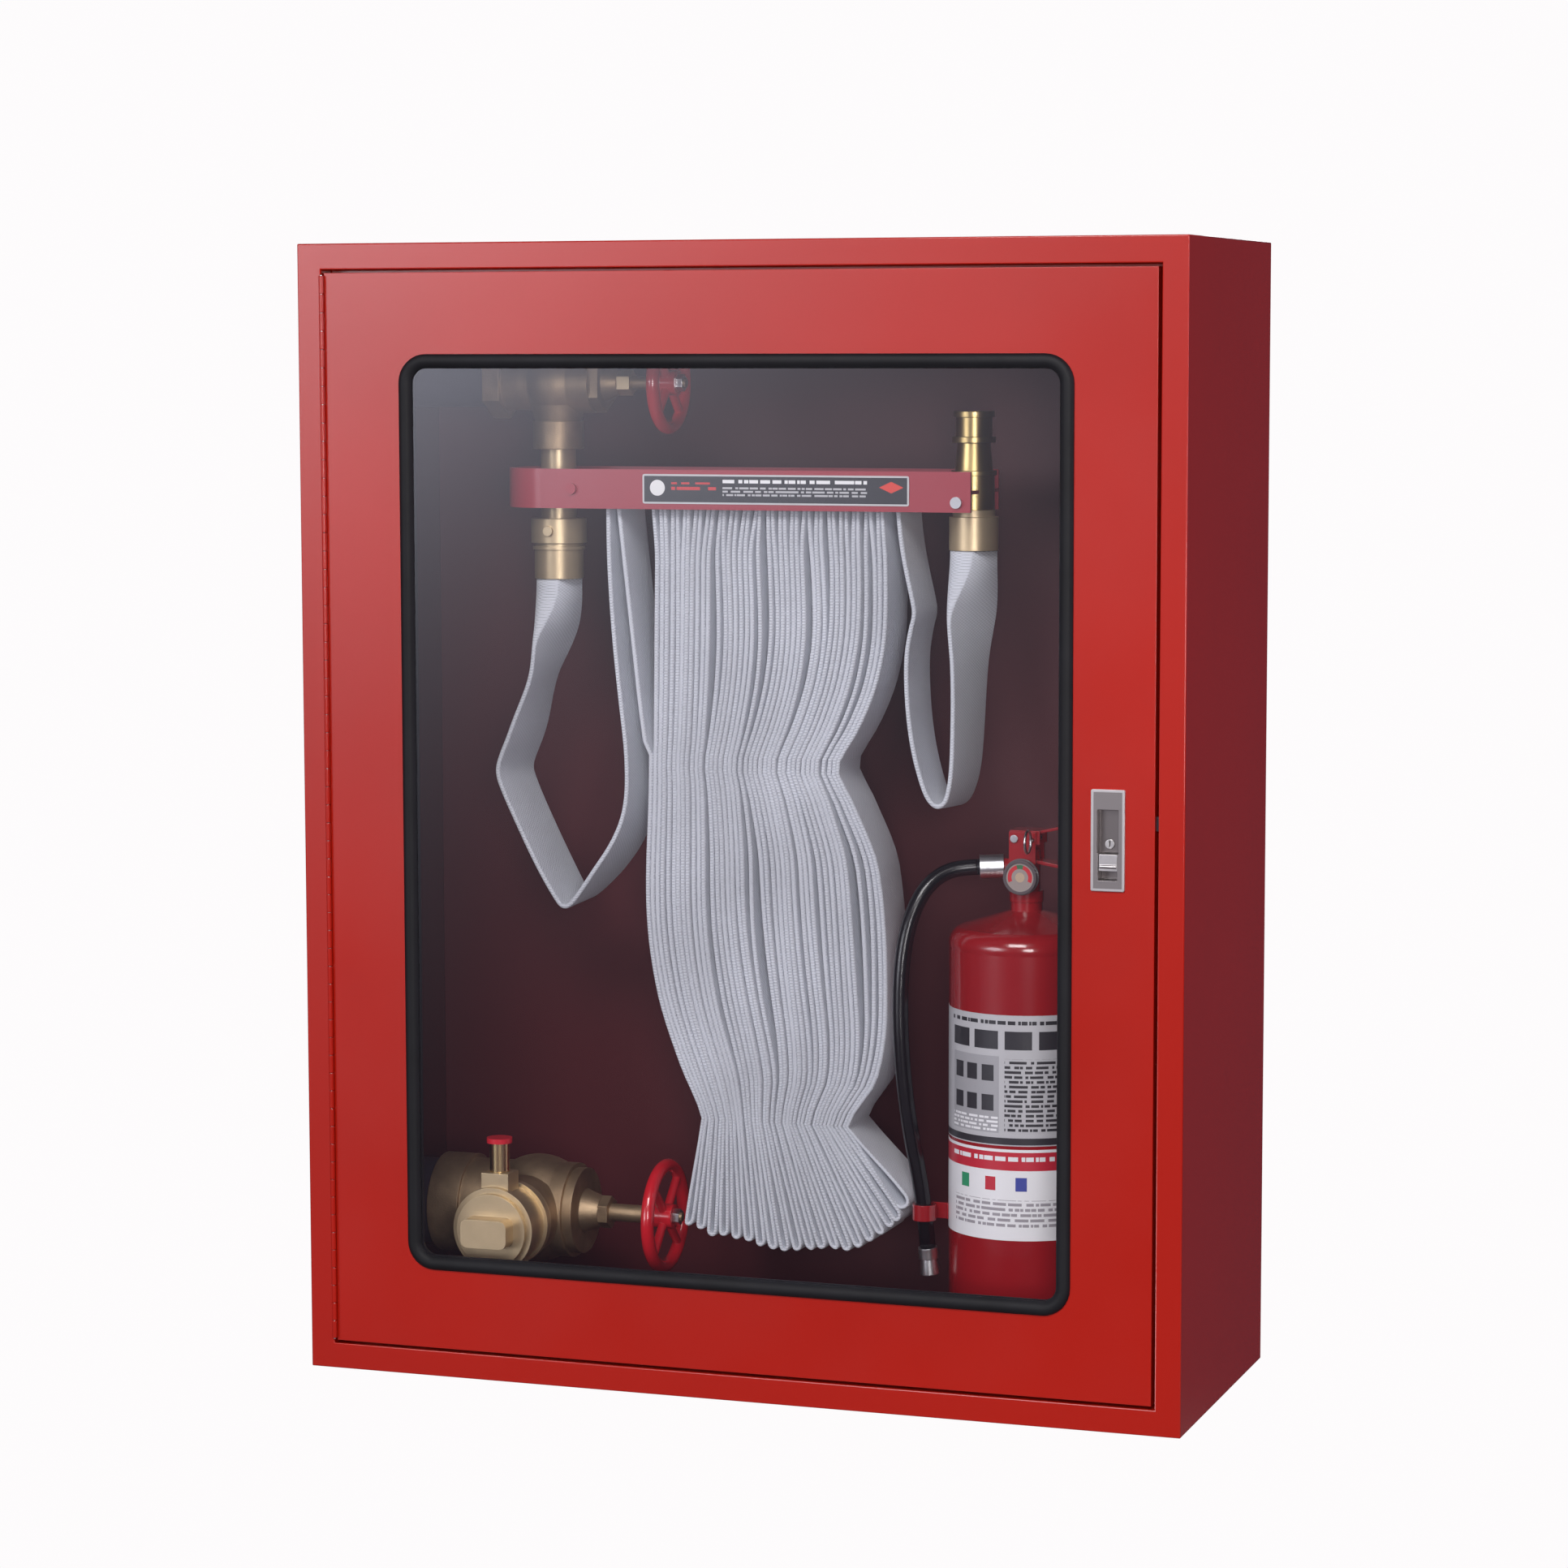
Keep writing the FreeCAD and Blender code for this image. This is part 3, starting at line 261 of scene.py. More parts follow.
def mix_colour(nt, mask, under, over):
    node = nt.nodes.new("ShaderNodeMix")
    node.data_type = "RGBA"
    for index, value in ((0, mask), (MIX_UNDER, under), (MIX_OVER, over)):
        if isinstance(value, (int, float)):
            node.inputs[index].default_value = value
        elif isinstance(value, tuple):
            node.inputs[index].default_value = (*value, 1)
        else:
            nt.links.new(value, node.inputs[index])
    return node.outputs[MIX_RESULT]


def spread(nt, value, low, high):
    node = nt.nodes.new("ShaderNodeMapRange")
    node.inputs["From Min"].default_value = low
    node.inputs["From Max"].default_value = high
    nt.links.new(value, node.inputs["Value"])
    return node.outputs[0]


def bump(nt, shader, height, strength, distance, edge=0.0):
    """Fine relief; with an edge radius, corners also catch the light as if rounded."""
    node = nt.nodes.new("ShaderNodeBump")
    node.inputs["Strength"].default_value = strength
    node.inputs["Distance"].default_value = distance
    nt.links.new(height, node.inputs["Height"])
    if edge:
        bevel = nt.nodes.new("ShaderNodeBevel")
        bevel.samples = 6
        bevel.inputs["Radius"].default_value = edge
        nt.links.new(bevel.outputs[0], node.inputs["Normal"])
    nt.links.new(node.outputs[0], shader.inputs["Normal"])


def vary(nt, shader, colour, scale, amount, rough=None):
    """Cloudy change of colour, and of roughness if a pair is given."""
    cloud = spread(nt, noise(nt, scale, 4), *CLOUD)
    dark, light = shade(colour, 1 - amount), shade(colour, 1 + amount)
    nt.links.new(mix_colour(nt, cloud, dark, light), shader.inputs["Base Color"])
    if rough:
        node = nt.nodes.new("ShaderNodeMapRange")
        node.inputs["To Min"].default_value = rough[0]
        node.inputs["To Max"].default_value = rough[1]
        nt.links.new(noise(nt, scale * 3.1, 3), node.inputs["Value"])
        nt.links.new(node.outputs[0], shader.inputs["Roughness"])


def turning_marks(nt, shader, strength, edge=0.0):
    """Fine streaks round a turned or brushed face."""
    bump(nt, shader, noise(nt, 60, 2, (1, 1, 40)), strength, 0.3 * MM, edge=edge)


def band(nt, value, low, high):
    """1 between two limits and 0 outside."""
    return maths(nt, "MULTIPLY", maths(nt, "GREATER_THAN", value, low),
                 maths(nt, "LESS_THAN", value, high))


def radial(nt, across, up):
    """Distance from the origin of two coordinates."""
    squares = maths(nt, "ADD", maths(nt, "POWER", across, 2), maths(nt, "POWER", up, 2))
    return maths(nt, "POWER", squares, 0.5)


def patch(nt, across, up, left, right, low, high):
    """1 inside a rectangle and 0 outside."""
    return maths(nt, "MULTIPLY", band(nt, across, left, right), band(nt, up, low, high))


def axes(nt):
    node = nt.nodes.new("ShaderNodeSeparateXYZ")
    nt.links.new(place_socket(nt), node.inputs[0])
    return node.outputs


# ------------------------------------------------------------------ materials
def powder_coat(name, colour, rough, scale=900, coat=0.25, grain=0.12, edge=1.2 * MM):
    mat, nt, shader = material(name, colour, rough, coat=coat)
    vary(nt, shader, colour, 3.0, 0.07, (rough - 0.05, rough + 0.07))
    bump(nt, shader, noise(nt, scale, 2), grain, 0.4 * MM, edge=edge)
    return mat


def shell_paint():
    """Red outside; inside the box a darker wine red, which is painted shade."""
    mat, nt, shader = material("shell_red", DOOR_RED, 0.21, coat=0.1)
    x, y, z = axes(nt)
    skin, front_frame = 1.5 * MM, 25 * MM
    within_x = maths(nt, "LESS_THAN", maths(nt, "ABSOLUTE", x), SHELL_HIGH[0] - skin)
    within_z = maths(nt, "LESS_THAN", maths(nt, "ABSOLUTE", z), SHELL_HIGH[2] - skin)
    behind = maths(nt, "GREATER_THAN", y, SHELL_LOW[1] + front_frame)
    # inside: the faces within the box, which get the darker red as painted shade
    inside = maths(nt, "MULTIPLY", maths(nt, "MULTIPLY", within_x, within_z), behind)
    cloud = spread(nt, noise(nt, 3.0, 4), *CLOUD)
    outer = mix_colour(nt, cloud, (0.375, 0.0098, 0.0034), (0.405, 0.0105, 0.0037))
    nt.links.new(mix_colour(nt, inside, outer, INNER_RED_PAINTED_SHADE), shader.inputs["Base Color"])
    bump(nt, shader, noise(nt, 900, 2), 0.12, 0.4 * MM)
    return mat


def capped_brass():
    """Brass plunger whose outer end is dipped in red."""
    mat, nt, shader = material("plunger_brass", PLUNGER_BRASS, 0.25, metal=1.0)
    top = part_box("outlet_upper_plunger")[1][2]
    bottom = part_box("outlet_lower_plunger")[0][2]
    z = axes(nt)[2]
    cap = 4.6 * MM
    red = maths(nt, "ADD", maths(nt, "GREATER_THAN", z, top - cap),
                maths(nt, "LESS_THAN", z, bottom + cap))
    nt.links.new(mix_colour(nt, red, PLUNGER_BRASS, (0.62, 0.02, 0.035)), shader.inputs["Base Color"])
    nt.links.new(maths(nt, "SUBTRACT", 1.0, red), shader.inputs["Metallic"])
    turning_marks(nt, shader, 0.05)
    return mat


def lock_metal():
    """Satin lock plate: bright rim, darker face and a shadowed recess."""
    mat, nt, shader = material("satin_chrome", (0.3, 0.28, 0.28), 0.34, metal=1.0)
    low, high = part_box("latch_housing")
    x, y, z = axes(nt)
    rim, face_depth = 2.2 * MM, 3 * MM
    face = patch(nt, x, z, low[0] + rim, high[0] - rim, low[2] + rim, high[2] - rim)
    colour = mix_colour(nt, face, (0.62, 0.59, 0.59), (0.29, 0.265, 0.265))
    # painted shadow: the recess is coloured darker in place of the shade that falls in it
    recess_painted_shadow = maths(nt, "MULTIPLY", face, maths(nt, "GREATER_THAN", y, low[1] + face_depth))
    nt.links.new(mix_colour(nt, recess_painted_shadow, colour, (0.20, 0.18, 0.18)), shader.inputs["Base Color"])
    turning_marks(nt, shader, 0.04, edge=0.8 * MM)
    return mat


def rack_screw_heads():
    """Zinc screws at the nozzle end; the pair at the hub end is painted over with the rack."""
    mat, nt, shader = material("rack_screw_zinc", SCREW_ZINC, 0.35, metal=1.0)
    bare = maths(nt, "GREATER_THAN", axes(nt)[0], 0.0)
    nt.links.new(mix_colour(nt, bare, RACK_RED, SCREW_ZINC), shader.inputs["Base Color"])
    nt.links.new(bare, shader.inputs["Metallic"])
    return mat


def cast_metal(name, colour, rough):
    mat, nt, shader = material(name, colour, rough, metal=0.85)
    vary(nt, shader, colour, 28, 0.28, (rough - 0.08, rough + 0.12))
    bump(nt, shader, noise(nt, 700, 4), 0.35, 0.6 * MM, edge=1.2 * MM)
    return mat


def turned_metal(name, colour, rough, metal=1.0):
    mat, nt, shader = material(name, colour, rough, metal=metal)
    vary(nt, shader, colour, 22, 0.12, (rough - 0.06, rough + 0.08))
    turning_marks(nt, shader, 0.05, edge=0.8 * MM)
    return mat


def rubber(name, colour, rough, specular=0.5):
    mat, nt, shader = material(name, colour, rough, specular=specular)
    vary(nt, shader, colour, 18, 0.25, (rough - 0.05, rough + 0.1))
    bump(nt, shader, noise(nt, 1500, 2), 0.12, 0.3 * MM)
    return mat


def woven_hose():
    """Circular-woven jacket: fine crossing ribs a little over a millimetre apart, with painted shade in the
    grooves between them.
    """
    colour = (0.69, 0.715, 0.775)
    mat, nt, shader = material("hose_jacket", colour, 0.82, specular=0.25)
    shader.inputs["Sheen Weight"].default_value = 0.25
    shader.inputs["Sheen Roughness"].default_value = 0.5
    y, z = axes(nt)[1:]
    ribs, slant = 2450, 0.6          # radians a metre, and how much the threads lean
    lean = maths(nt, "MULTIPLY", y, slant)
    rise, cross = (maths(nt, "SINE", maths(nt, "MULTIPLY", maths(nt, kind, z, lean), ribs))
                   for kind in ("ADD", "SUBTRACT"))
    weave = maths(nt, "ADD", maths(nt, "MULTIPLY", rise, 0.5), maths(nt, "MULTIPLY", cross, 0.5))
    cloud = spread(nt, noise(nt, 9, 4), *CLOUD)
    worn = mix_colour(nt, cloud, shade(colour, 0.86), shade(colour, 1.16))
    # painted shade: the colour darkens in the grooves between the ribs, following the same relief as the
    # bump
    weave_and_groove_shade = mix_colour(nt, spread(nt, weave, -1, 1), shade(colour, 0.74), worn)
    nt.links.new(weave_and_groove_shade, shader.inputs["Base Color"])
    height = maths(nt, "ADD", weave, maths(nt, "MULTIPLY", noise(nt, 1300, 2), 0.8))
    bump(nt, shader, height, 0.45, 0.5 * MM)
    return mat


def pane():
    """Clear glass that reflects from its front faces alone, with both faces' share of the light."""
    mat, nt, shader = material("window_pane", (0.9, 0.93, 0.95), 0.02)
    nt.nodes.remove(shader)
    out = [n for n in nt.nodes if n.type == "OUTPUT_MATERIAL"][0]
    clear = nt.nodes.new("ShaderNodeBsdfTransparent")
    clear.inputs["Color"].default_value = (0.98, 0.98, 0.985, 1)
    shine = nt.nodes.new("ShaderNodeBsdfGlossy")
    shine.inputs["Color"].default_value = (0.9, 0.9, 1.0, 1)
    shine.inputs["Roughness"].default_value = 0.02
    fresnel = nt.nodes.new("ShaderNodeFresnel")
    fresnel.inputs["IOR"].default_value = 1.5
    mix = nt.nodes.new("ShaderNodeMixShader")
    sides = nt.nodes.new("ShaderNodeNewGeometry")
    outside = maths(nt, "SUBTRACT", 1.0, sides.outputs["Backfacing"])
    both_faces = 1.9
    mirror = maths(nt, "MINIMUM", maths(nt, "MULTIPLY", fresnel.outputs[0], both_faces), 1.0)
    nt.links.new(maths(nt, "MULTIPLY", mirror, outside), mix.inputs["Fac"])
    nt.links.new(clear.outputs[0], mix.inputs[1])
    nt.links.new(shine.outputs[0], mix.inputs[2])
    nt.links.new(mix.outputs[0], out.inputs["Surface"])
    return mat


def print_rows(nt, across, up, left, right, low, high, pitch, gap_scale):
    """Rows of short unreadable dashes, as fine print looks from a distance."""
    place = maths(nt, "DIVIDE", maths(nt, "SUBTRACT", up, low), pitch)
    dash = nt.nodes.new("ShaderNodeTexNoise")
    dash.inputs["Scale"].default_value = gap_scale
    dash.inputs["Detail"].default_value = 1
    spot = nt.nodes.new("ShaderNodeCombineXYZ")
    nt.links.new(across, spot.inputs[0])
    nt.links.new(maths(nt, "FLOOR", place), spot.inputs[2])
    nt.links.new(spot.outputs[0], dash.inputs["Vector"])
    leading, breaks = 0.45, 0.45
    ink = maths(nt, "MULTIPLY", maths(nt, "GREATER_THAN", maths(nt, "FRACT", place), leading),
                maths(nt, "GREATER_THAN", dash.outputs["Fac"], breaks))
    return maths(nt, "MULTIPLY", ink, patch(nt, across, up, left, right, low, high))


def nameplate():
    """Black plate with a silver border, a plain disc, a plain lozenge and rows of dashes."""
    mat, nt, shader = material("nameplate_print", (0.02, 0.02, 0.025), 0.3, coat=0.4)
    x, _, z = axes(nt)
    middle = (PLATE_LOW[2] + PLATE_HIGH[2]) / 2
    left, right = PLATE_LOW[0], PLATE_HIGH[0]
    rim, half = 1.6 * MM, (PLATE_HIGH[2] - PLATE_LOW[2]) / 2
    inside = patch(nt, x, z, left + rim, right - rim, middle - half + rim, middle + half - rim)
    colour = mix_colour(nt, inside, (0.55, 0.55, 0.56), (0.018, 0.018, 0.024))

    text_left, text_right = left + 75 * MM, right - 38 * MM
    for start, end, low, high, pitch, gaps, paint in (
            (text_left, text_right, -7, 2, 3, 260, (0.5, 0.5, 0.52)),
            (text_left, text_right, 3, 8.5, 5.5, 180, (0.85, 0.85, 0.86)),
            (left + 27 * MM, left + 70 * MM, -3, 6, 5, 90, (0.55, 0.03, 0.03))):
        rows = print_rows(nt, x, z, start, end, middle + low * MM, middle + high * MM, pitch * MM, gaps)
        colour = mix_colour(nt, rows, colour, paint)

    disc_x, disc_z, disc_radius = left + 14 * MM, middle + 1 * MM, 7 * MM
    reach = radial(nt, maths(nt, "SUBTRACT", x, disc_x), maths(nt, "SUBTRACT", z, disc_z))
    colour = mix_colour(nt, maths(nt, "LESS_THAN", reach, disc_radius), colour, (0.8, 0.8, 0.8))

    lozenge_x, lozenge_z, lozenge_reach, squash = right - 16 * MM, middle + 3 * MM, 11 * MM, 2.2
    off_x = maths(nt, "ABSOLUTE", maths(nt, "SUBTRACT", x, lozenge_x))
    off_z = maths(nt, "ABSOLUTE", maths(nt, "SUBTRACT", z, lozenge_z))
    lozenge = maths(nt, "LESS_THAN", maths(nt, "ADD", off_x, maths(nt, "MULTIPLY", off_z, squash)),
                    lozenge_reach)
    colour = mix_colour(nt, lozenge, colour, (0.7, 0.05, 0.03))
    nt.links.new(colour, shader.inputs["Base Color"])
    bump(nt, shader, noise(nt, 900, 2), 0.05, 0.2 * MM)
    return mat


def bottle_labels():
    """Two generic labels: a silver one with blocks and dashes, a white one with a red band."""
    mat, nt, shader = material("label_print", (0.7, 0.7, 0.7), 0.35, coat=0.2)
    x, y, z = axes(nt)
    angle = maths(nt, "ARCTAN2", maths(nt, "SUBTRACT", x, BOTTLE_X),
                  maths(nt, "MULTIPLY", maths(nt, "SUBTRACT", y, BOTTLE_Y), -1))
    arc = maths(nt, "MULTIPLY", angle, (BOTTLE_HIGH[0] - BOTTLE_LOW[0]) / 2)
    silver, grey, white = (0.52, 0.52, 0.54), (0.38, 0.38, 0.40), (0.86, 0.86, 0.88)
    ink, faded, red = (0.03, 0.03, 0.035), (0.35, 0.33, 0.36), (0.55, 0.02, 0.04)
    green, blue = (0.03, 0.30, 0.14), (0.05, 0.07, 0.35)
    top, split, foot = -163 * MM, -278.5 * MM, -360 * MM
    colour = mix_colour(nt, maths(nt, "GREATER_THAN", z, split), white, silver)

    def add(mask, paint):
        nonlocal colour
        colour = mix_colour(nt, mask, colour, paint)

    def block(left, right, low, high, paint, origin):
        add(patch(nt, arc, z, left * MM, right * MM, origin + low * MM, origin + high * MM), paint)

    def dashes(left, right, low, high, pitch, gaps, paint):
        add(print_rows(nt, arc, z, left * MM, right * MM, low, high, pitch * MM, gaps), paint)

    # the silver label, measured down from its top edge
    for index in range(4):
        left = -60 + 30 * index
        block(left, left + 24, -30, -14, ink, top)
    dashes(-62, 62, top - 11 * MM, top - 5 * MM, 6, 220, ink)
    block(-60, -5, -103, -36, grey, top)
    for column in range(3):
        for row in range(2):
            left, base = -56 + 17 * column, -(58 + 26 * row)
            block(left, left + 12, base, base + 14, ink, top)
    dashes(-60, -6, top - 103 * MM, top - 88 * MM, 3.5, 250, white)
    dashes(0, 58, top - 103 * MM, top - 38 * MM, 4.2, 210, ink)
    add(band(nt, z, top - 113 * MM, top - 107 * MM), ink)

    # the white label, measured down from the line where the two meet
    add(band(nt, z, split - 20 * MM, split - 4 * MM), red)
    dashes(-60, 60, split - 15 * MM, split - 8 * MM, 7, 170, white)
    for index, paint in enumerate((green, red, blue)):
        left = -46 + 28 * index
        block(left, left + 10, -38, -26, paint, split)
    dashes(-56, 56, foot + 10 * MM, split - 46 * MM, 4.6, 200, faded)
    nt.links.new(colour, shader.inputs["Base Color"])
    bump(nt, shader, noise(nt, 600, 2), 0.05, 0.2 * MM)
    return mat


def gauge_face():
    """Dark case with a pale dial, a coloured arc and a hub."""
    mat, nt, shader = material("gauge_case", (0.6, 0.6, 0.6), 0.25, coat=0.5)
    low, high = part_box("ext_gauge")
    x, _, z = axes(nt)
    dx = maths(nt, "SUBTRACT", x, (low[0] + high[0]) / 2)
    dz = maths(nt, "SUBTRACT", z, (low[2] + high[2]) / 2)
    reach = radial(nt, dx, dz)
    angle = maths(nt, "ARCTAN2", dx, dz)
    dial_radius, arc_inner, arc_outer, hub_radius = 12.4 * MM, 7.5 * MM, 11 * MM, 4.2 * MM
    dial = maths(nt, "LESS_THAN", reach, dial_radius)
    colour = mix_colour(nt, dial, (0.10, 0.08, 0.085), (0.33, 0.28, 0.26))
    for half_angle, paint in ((2.0, (0.55, 0.03, 0.04)), (0.3, (0.05, 0.16, 0.07))):
        arc = maths(nt, "MULTIPLY", band(nt, reach, arc_inner, arc_outer),
                    band(nt, angle, -half_angle, half_angle))
        colour = mix_colour(nt, arc, colour, paint)
    hub = maths(nt, "LESS_THAN", reach, hub_radius)
    nt.links.new(mix_colour(nt, hub, colour, (0.50, 0.38, 0.27)), shader.inputs["Base Color"])
    bump(nt, shader, noise(nt, 500, 2), 0.05, 0.2 * MM, edge=0.8 * MM)
    return mat


# ------------------------------------------------------------------ mesh helpers
def add_piece(name, mesh, mat, body, node):
    """Put a mesh in the scene in place of a node, riding on the node's body."""
    mesh.materials.clear()
    mesh.materials.append(mat)
    obj = bpy.data.objects.new(name, mesh)
    bpy.context.collection.objects.link(obj)
    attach(obj, body)
    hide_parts(node)
    return obj


def new_piece(name, verts, faces, mat, body, node):
    mesh = bpy.data.meshes.new(name)
    mesh.from_pydata([tuple(v) for v in verts], [], faces)
    mesh.validate()
    bm = bmesh.new()
    bm.from_mesh(mesh)
    bmesh.ops.recalc_face_normals(bm, faces=bm.faces)
    bm.to_mesh(mesh)
    bm.free()
    for polygon in mesh.polygons:
        polygon.use_smooth = True
    return add_piece(name, mesh, mat, body, node)


def nurbs_line(points, steps=8):
    """Points along the smooth spline that has the route as its control points."""
    data = bpy.data.curves.new("route", "CURVE")
    data.dimensions = "3D"
    data.resolution_u = steps
    spline = data.splines.new("NURBS")
    spline.points.add(len(points) - 1)
    for point, place in zip(spline.points, points):
        point.co = (*place, 1)
    spline.order_u = 3
    spline.use_endpoint_u = True
    obj = bpy.data.objects.new("route", data)
    bpy.context.collection.objects.link(obj)
    mesh = bpy.data.meshes.new_from_object(obj)
    line = [Vector(v.co) for v in mesh.vertices]
    bpy.data.objects.remove(obj)
    bpy.data.meshes.remove(mesh)
    bpy.data.curves.remove(data)
    return line


def line_length(line):
    return sum((b - a).length for a, b in zip(line, line[1:]))


def flat_section(width, gauge, count=7):
    """A flattened tube's outline: two long faces and two rounded edges."""
    outline = []
    radius = gauge / 2
    for side in (1, -1):
        for step in range(count):
            angle = side * math.pi / 2 - math.pi * step / (count - 1)
            outline.append((side * (width / 2 - radius) + radius * math.cos(angle),
                            radius * math.sin(angle)))
    return outline


def sweep(line, section_at, twist_at=lambda share: 0.0, side=Vector((0, 1, 0))):
    """Carry a section along a line; the section's first axis follows side, turned by twist."""
    rings = []
    total = line_length(line)
    done = 0.0
    for index, place in enumerate(line):
        before = line[max(index - 1, 0)]
        after = line[min(index + 1, len(line) - 1)]
        tangent = (after - before).normalized()
        if index:
            done += (place - line[index - 1]).length
        share = done / total
        across = (side - tangent * side.dot(tangent)).normalized()
        normal = tangent.cross(across)
        turn = twist_at(share)
        first = across * math.cos(turn) + normal * math.sin(turn)
        second = normal * math.cos(turn) - across * math.sin(turn)
        rings.append([place + first * u + second * v for u, v in section_at(share)])
    verts = [point for ring in rings for point in ring]
    return verts, ring_faces(len(rings), len(rings[0]))


def ring_faces(count, size):
    """Faces that join a run of rings of the same size, with a cap at each end."""
    faces = [(row * size + a, row * size + (a + 1) % size, (row + 1) * size + (a + 1) % size,
              (row + 1) * size + a) for row in range(count - 1) for a in range(size)]
    return faces + [tuple(range(size))[::-1], tuple(range((count - 1) * size, count * size))]


def smooth_value(points, at):
    """Smooth interpolation of (place, value) pairs, with level ends."""
    if at <= points[0][0]:
        return points[0][1]
    for index in range(len(points) - 1):
        (a, va), (b, vb) = points[index], points[index + 1]
        if at <= b:
            before = points[max(index - 1, 0)]
            after = points[min(index + 2, len(points) - 1)]
            slope_a = (vb - before[1]) / (b - before[0])
            slope_b = (after[1] - va) / (after[0] - a)
            t = (at - a) / (b - a)
            span = b - a
            return ((2 * t ** 3 - 3 * t ** 2 + 1) * va + (t ** 3 - 2 * t ** 2 + t) * span * slope_a
                    + (3 * t ** 2 - 2 * t ** 3) * vb + (t ** 3 - t ** 2) * span * slope_b)
    return points[-1][1]


# ------------------------------------------------------------------ hose
# the pack's outline, as (height, x) pairs down each side and (x, height) along the bottom loops
LEFT_SIDE = [(-364, -92), (-290, -76), (-276, -71), (-260, -77), (-228, -92), (-165, -113), (-90, -123),
             (20, -120), (140, -118), (283, -116)]
RIGHT_SIDE = [(-364, 122), (-292, 74), (-276, 68), (-262, 75), (-232, 95), (-170, 104), (-48, 97),
              (10, 74), (32, 62), (42, 59), (52, 63), (80, 80), (120, 96), (170, 104), (283, 103)]
BOTTOM = [(-90, -366), (-66, -375), (-40, -380), (-3, -384), (35, -385), (66, -381), (92, -371),
          (110, -355), (119, -332)]
FIRST_FOLD = [(281, -148), (235, -143), (180, -137), (130, -131.5), (90, -127), (50, -121.5)]
NECK_Z = -276.0             # where the strands are pressed together before they fan out
STRANDS = 2 * FOLDS
HOSE_GAUGE = 4.3            # thickness of the flat hose, and where it is squeezed at a pin or loop
TOP_GAUGE, PIN_RAD = 3.5, 1.8
LOOP_GAUGE, LOOP_RAD = 3.3, 3.1
ARC_STEPS = 7


def spaced(points, share):
    """The point that lies at a share of a polyline's length."""
    lengths = [math.dist(a, b) for a, b in zip(points, points[1:])]
    left = share * sum(lengths)
    for (a, b), length in zip(zip(points, points[1:]), lengths):
        if left <= length:
            t = left / length
            return (a[0] + (b[0] - a[0]) * t, a[1] + (b[1] - a[1]) * t)
        left -= length
    return points[-1]


def strand_rows():
    """Each hanging strand as (x, z, gauge) rows from the pins down to its bottom loop.

    Strands are packed side by side. What is left of the width is shared out as gaps that
    wander with height, so that some folds press together and others stand apart.
    """
    random.seed(7)
    turn = 6.28
    phases = [(random.uniform(0, turn), random.uniform(0.005, 0.014), random.uniform(0, turn))
              for _ in range(STRANDS + 1)]
    weights = [random.random() ** 2.5 + 0.10 for _ in range(STRANDS + 1)]
    weights[0] = weights[-1] = 0.0
    margin = 0.01
    ends = [spaced(BOTTOM, margin + (1 - 2 * margin) * (index // 2 + 0.5) / FOLDS)
            for index in range(STRANDS)]
    ends = [(x, z + random.uniform(-3, 2)) for x, z in ends[::2] for _ in (0, 1)]
    rows = [[] for _ in range(STRANDS)]

    def packed(height):
        left, right = smooth_value(LEFT_SIDE, height), smooth_value(RIGHT_SIDE, height)
        width = right - left
        tightest = 0.93
        gauge = min(HOSE_GAUGE, tightest * width / STRANDS)
        gaps = [weight * (1.15 + math.sin(a + b * height) * math.cos(c + 0.5 * b * height))
                for weight, (a, b, c) in zip(weights, phases)]
        scale = (width - gauge * STRANDS) / sum(gaps)
        places, x = [], left
        for index in range(STRANDS):
            x += gaps[index] * scale + gauge / 2
            places.append((x, gauge))
            x += gauge / 2
        return places

    steps, pin_reach, first_fold_end = 46, 58.0, 50
    for step in range(steps + 1):
        height = PIN_Z + (NECK_Z - PIN_Z) * step / steps
        near_pin = ease(1 - min(1.0, max(0.0, (PIN_Z - height) / pin_reach)))
        for index, (x, gauge) in enumerate(packed(height)):
            if index == 0:
                if height > first_fold_end:
                    x = smooth_value(FIRST_FOLD[::-1], height)
                    gauge = HOSE_GAUGE
            else:
                pin = PINS[(index - 1) // 2]
                side = -1 if index % 2 else 1
                at_pin = pin + side * (PIN_RAD + TOP_GAUGE / 2)
                x += (at_pin - x) * near_pin
                gauge += (TOP_GAUGE - gauge) * near_pin
            rows[index].append((x, height, gauge))

    fan, last_loop, belly = 12, 2.1, 0.9
    for index, row in enumerate(rows):
        x, z, gauge = row[-1]
        end_x, end_z = ends[index]
        run = Vector((end_x - x, end_z - z)).normalized()
        across = Vector((-run.y, run.x))
        if across.x < 0:
            across = -across
        side = -1 if index % 2 == 0 else 1
        loop = LOOP_RAD * (last_loop if index >= STRANDS - 2 else 1.0)
        goal = Vector((end_x, end_z)) + across * side * loop
        for step in range(1, fan + 1):
            share = step / fan
            centre_x, centre_z = x + (goal.x - x) * share, z + (goal.y - z) * share
            bulge = across * side * loop * (ease(share) - share) * belly
            row.append((centre_x + bulge.x, centre_z + bulge.y, gauge + (LOOP_GAUGE - gauge) * share))
    return rows


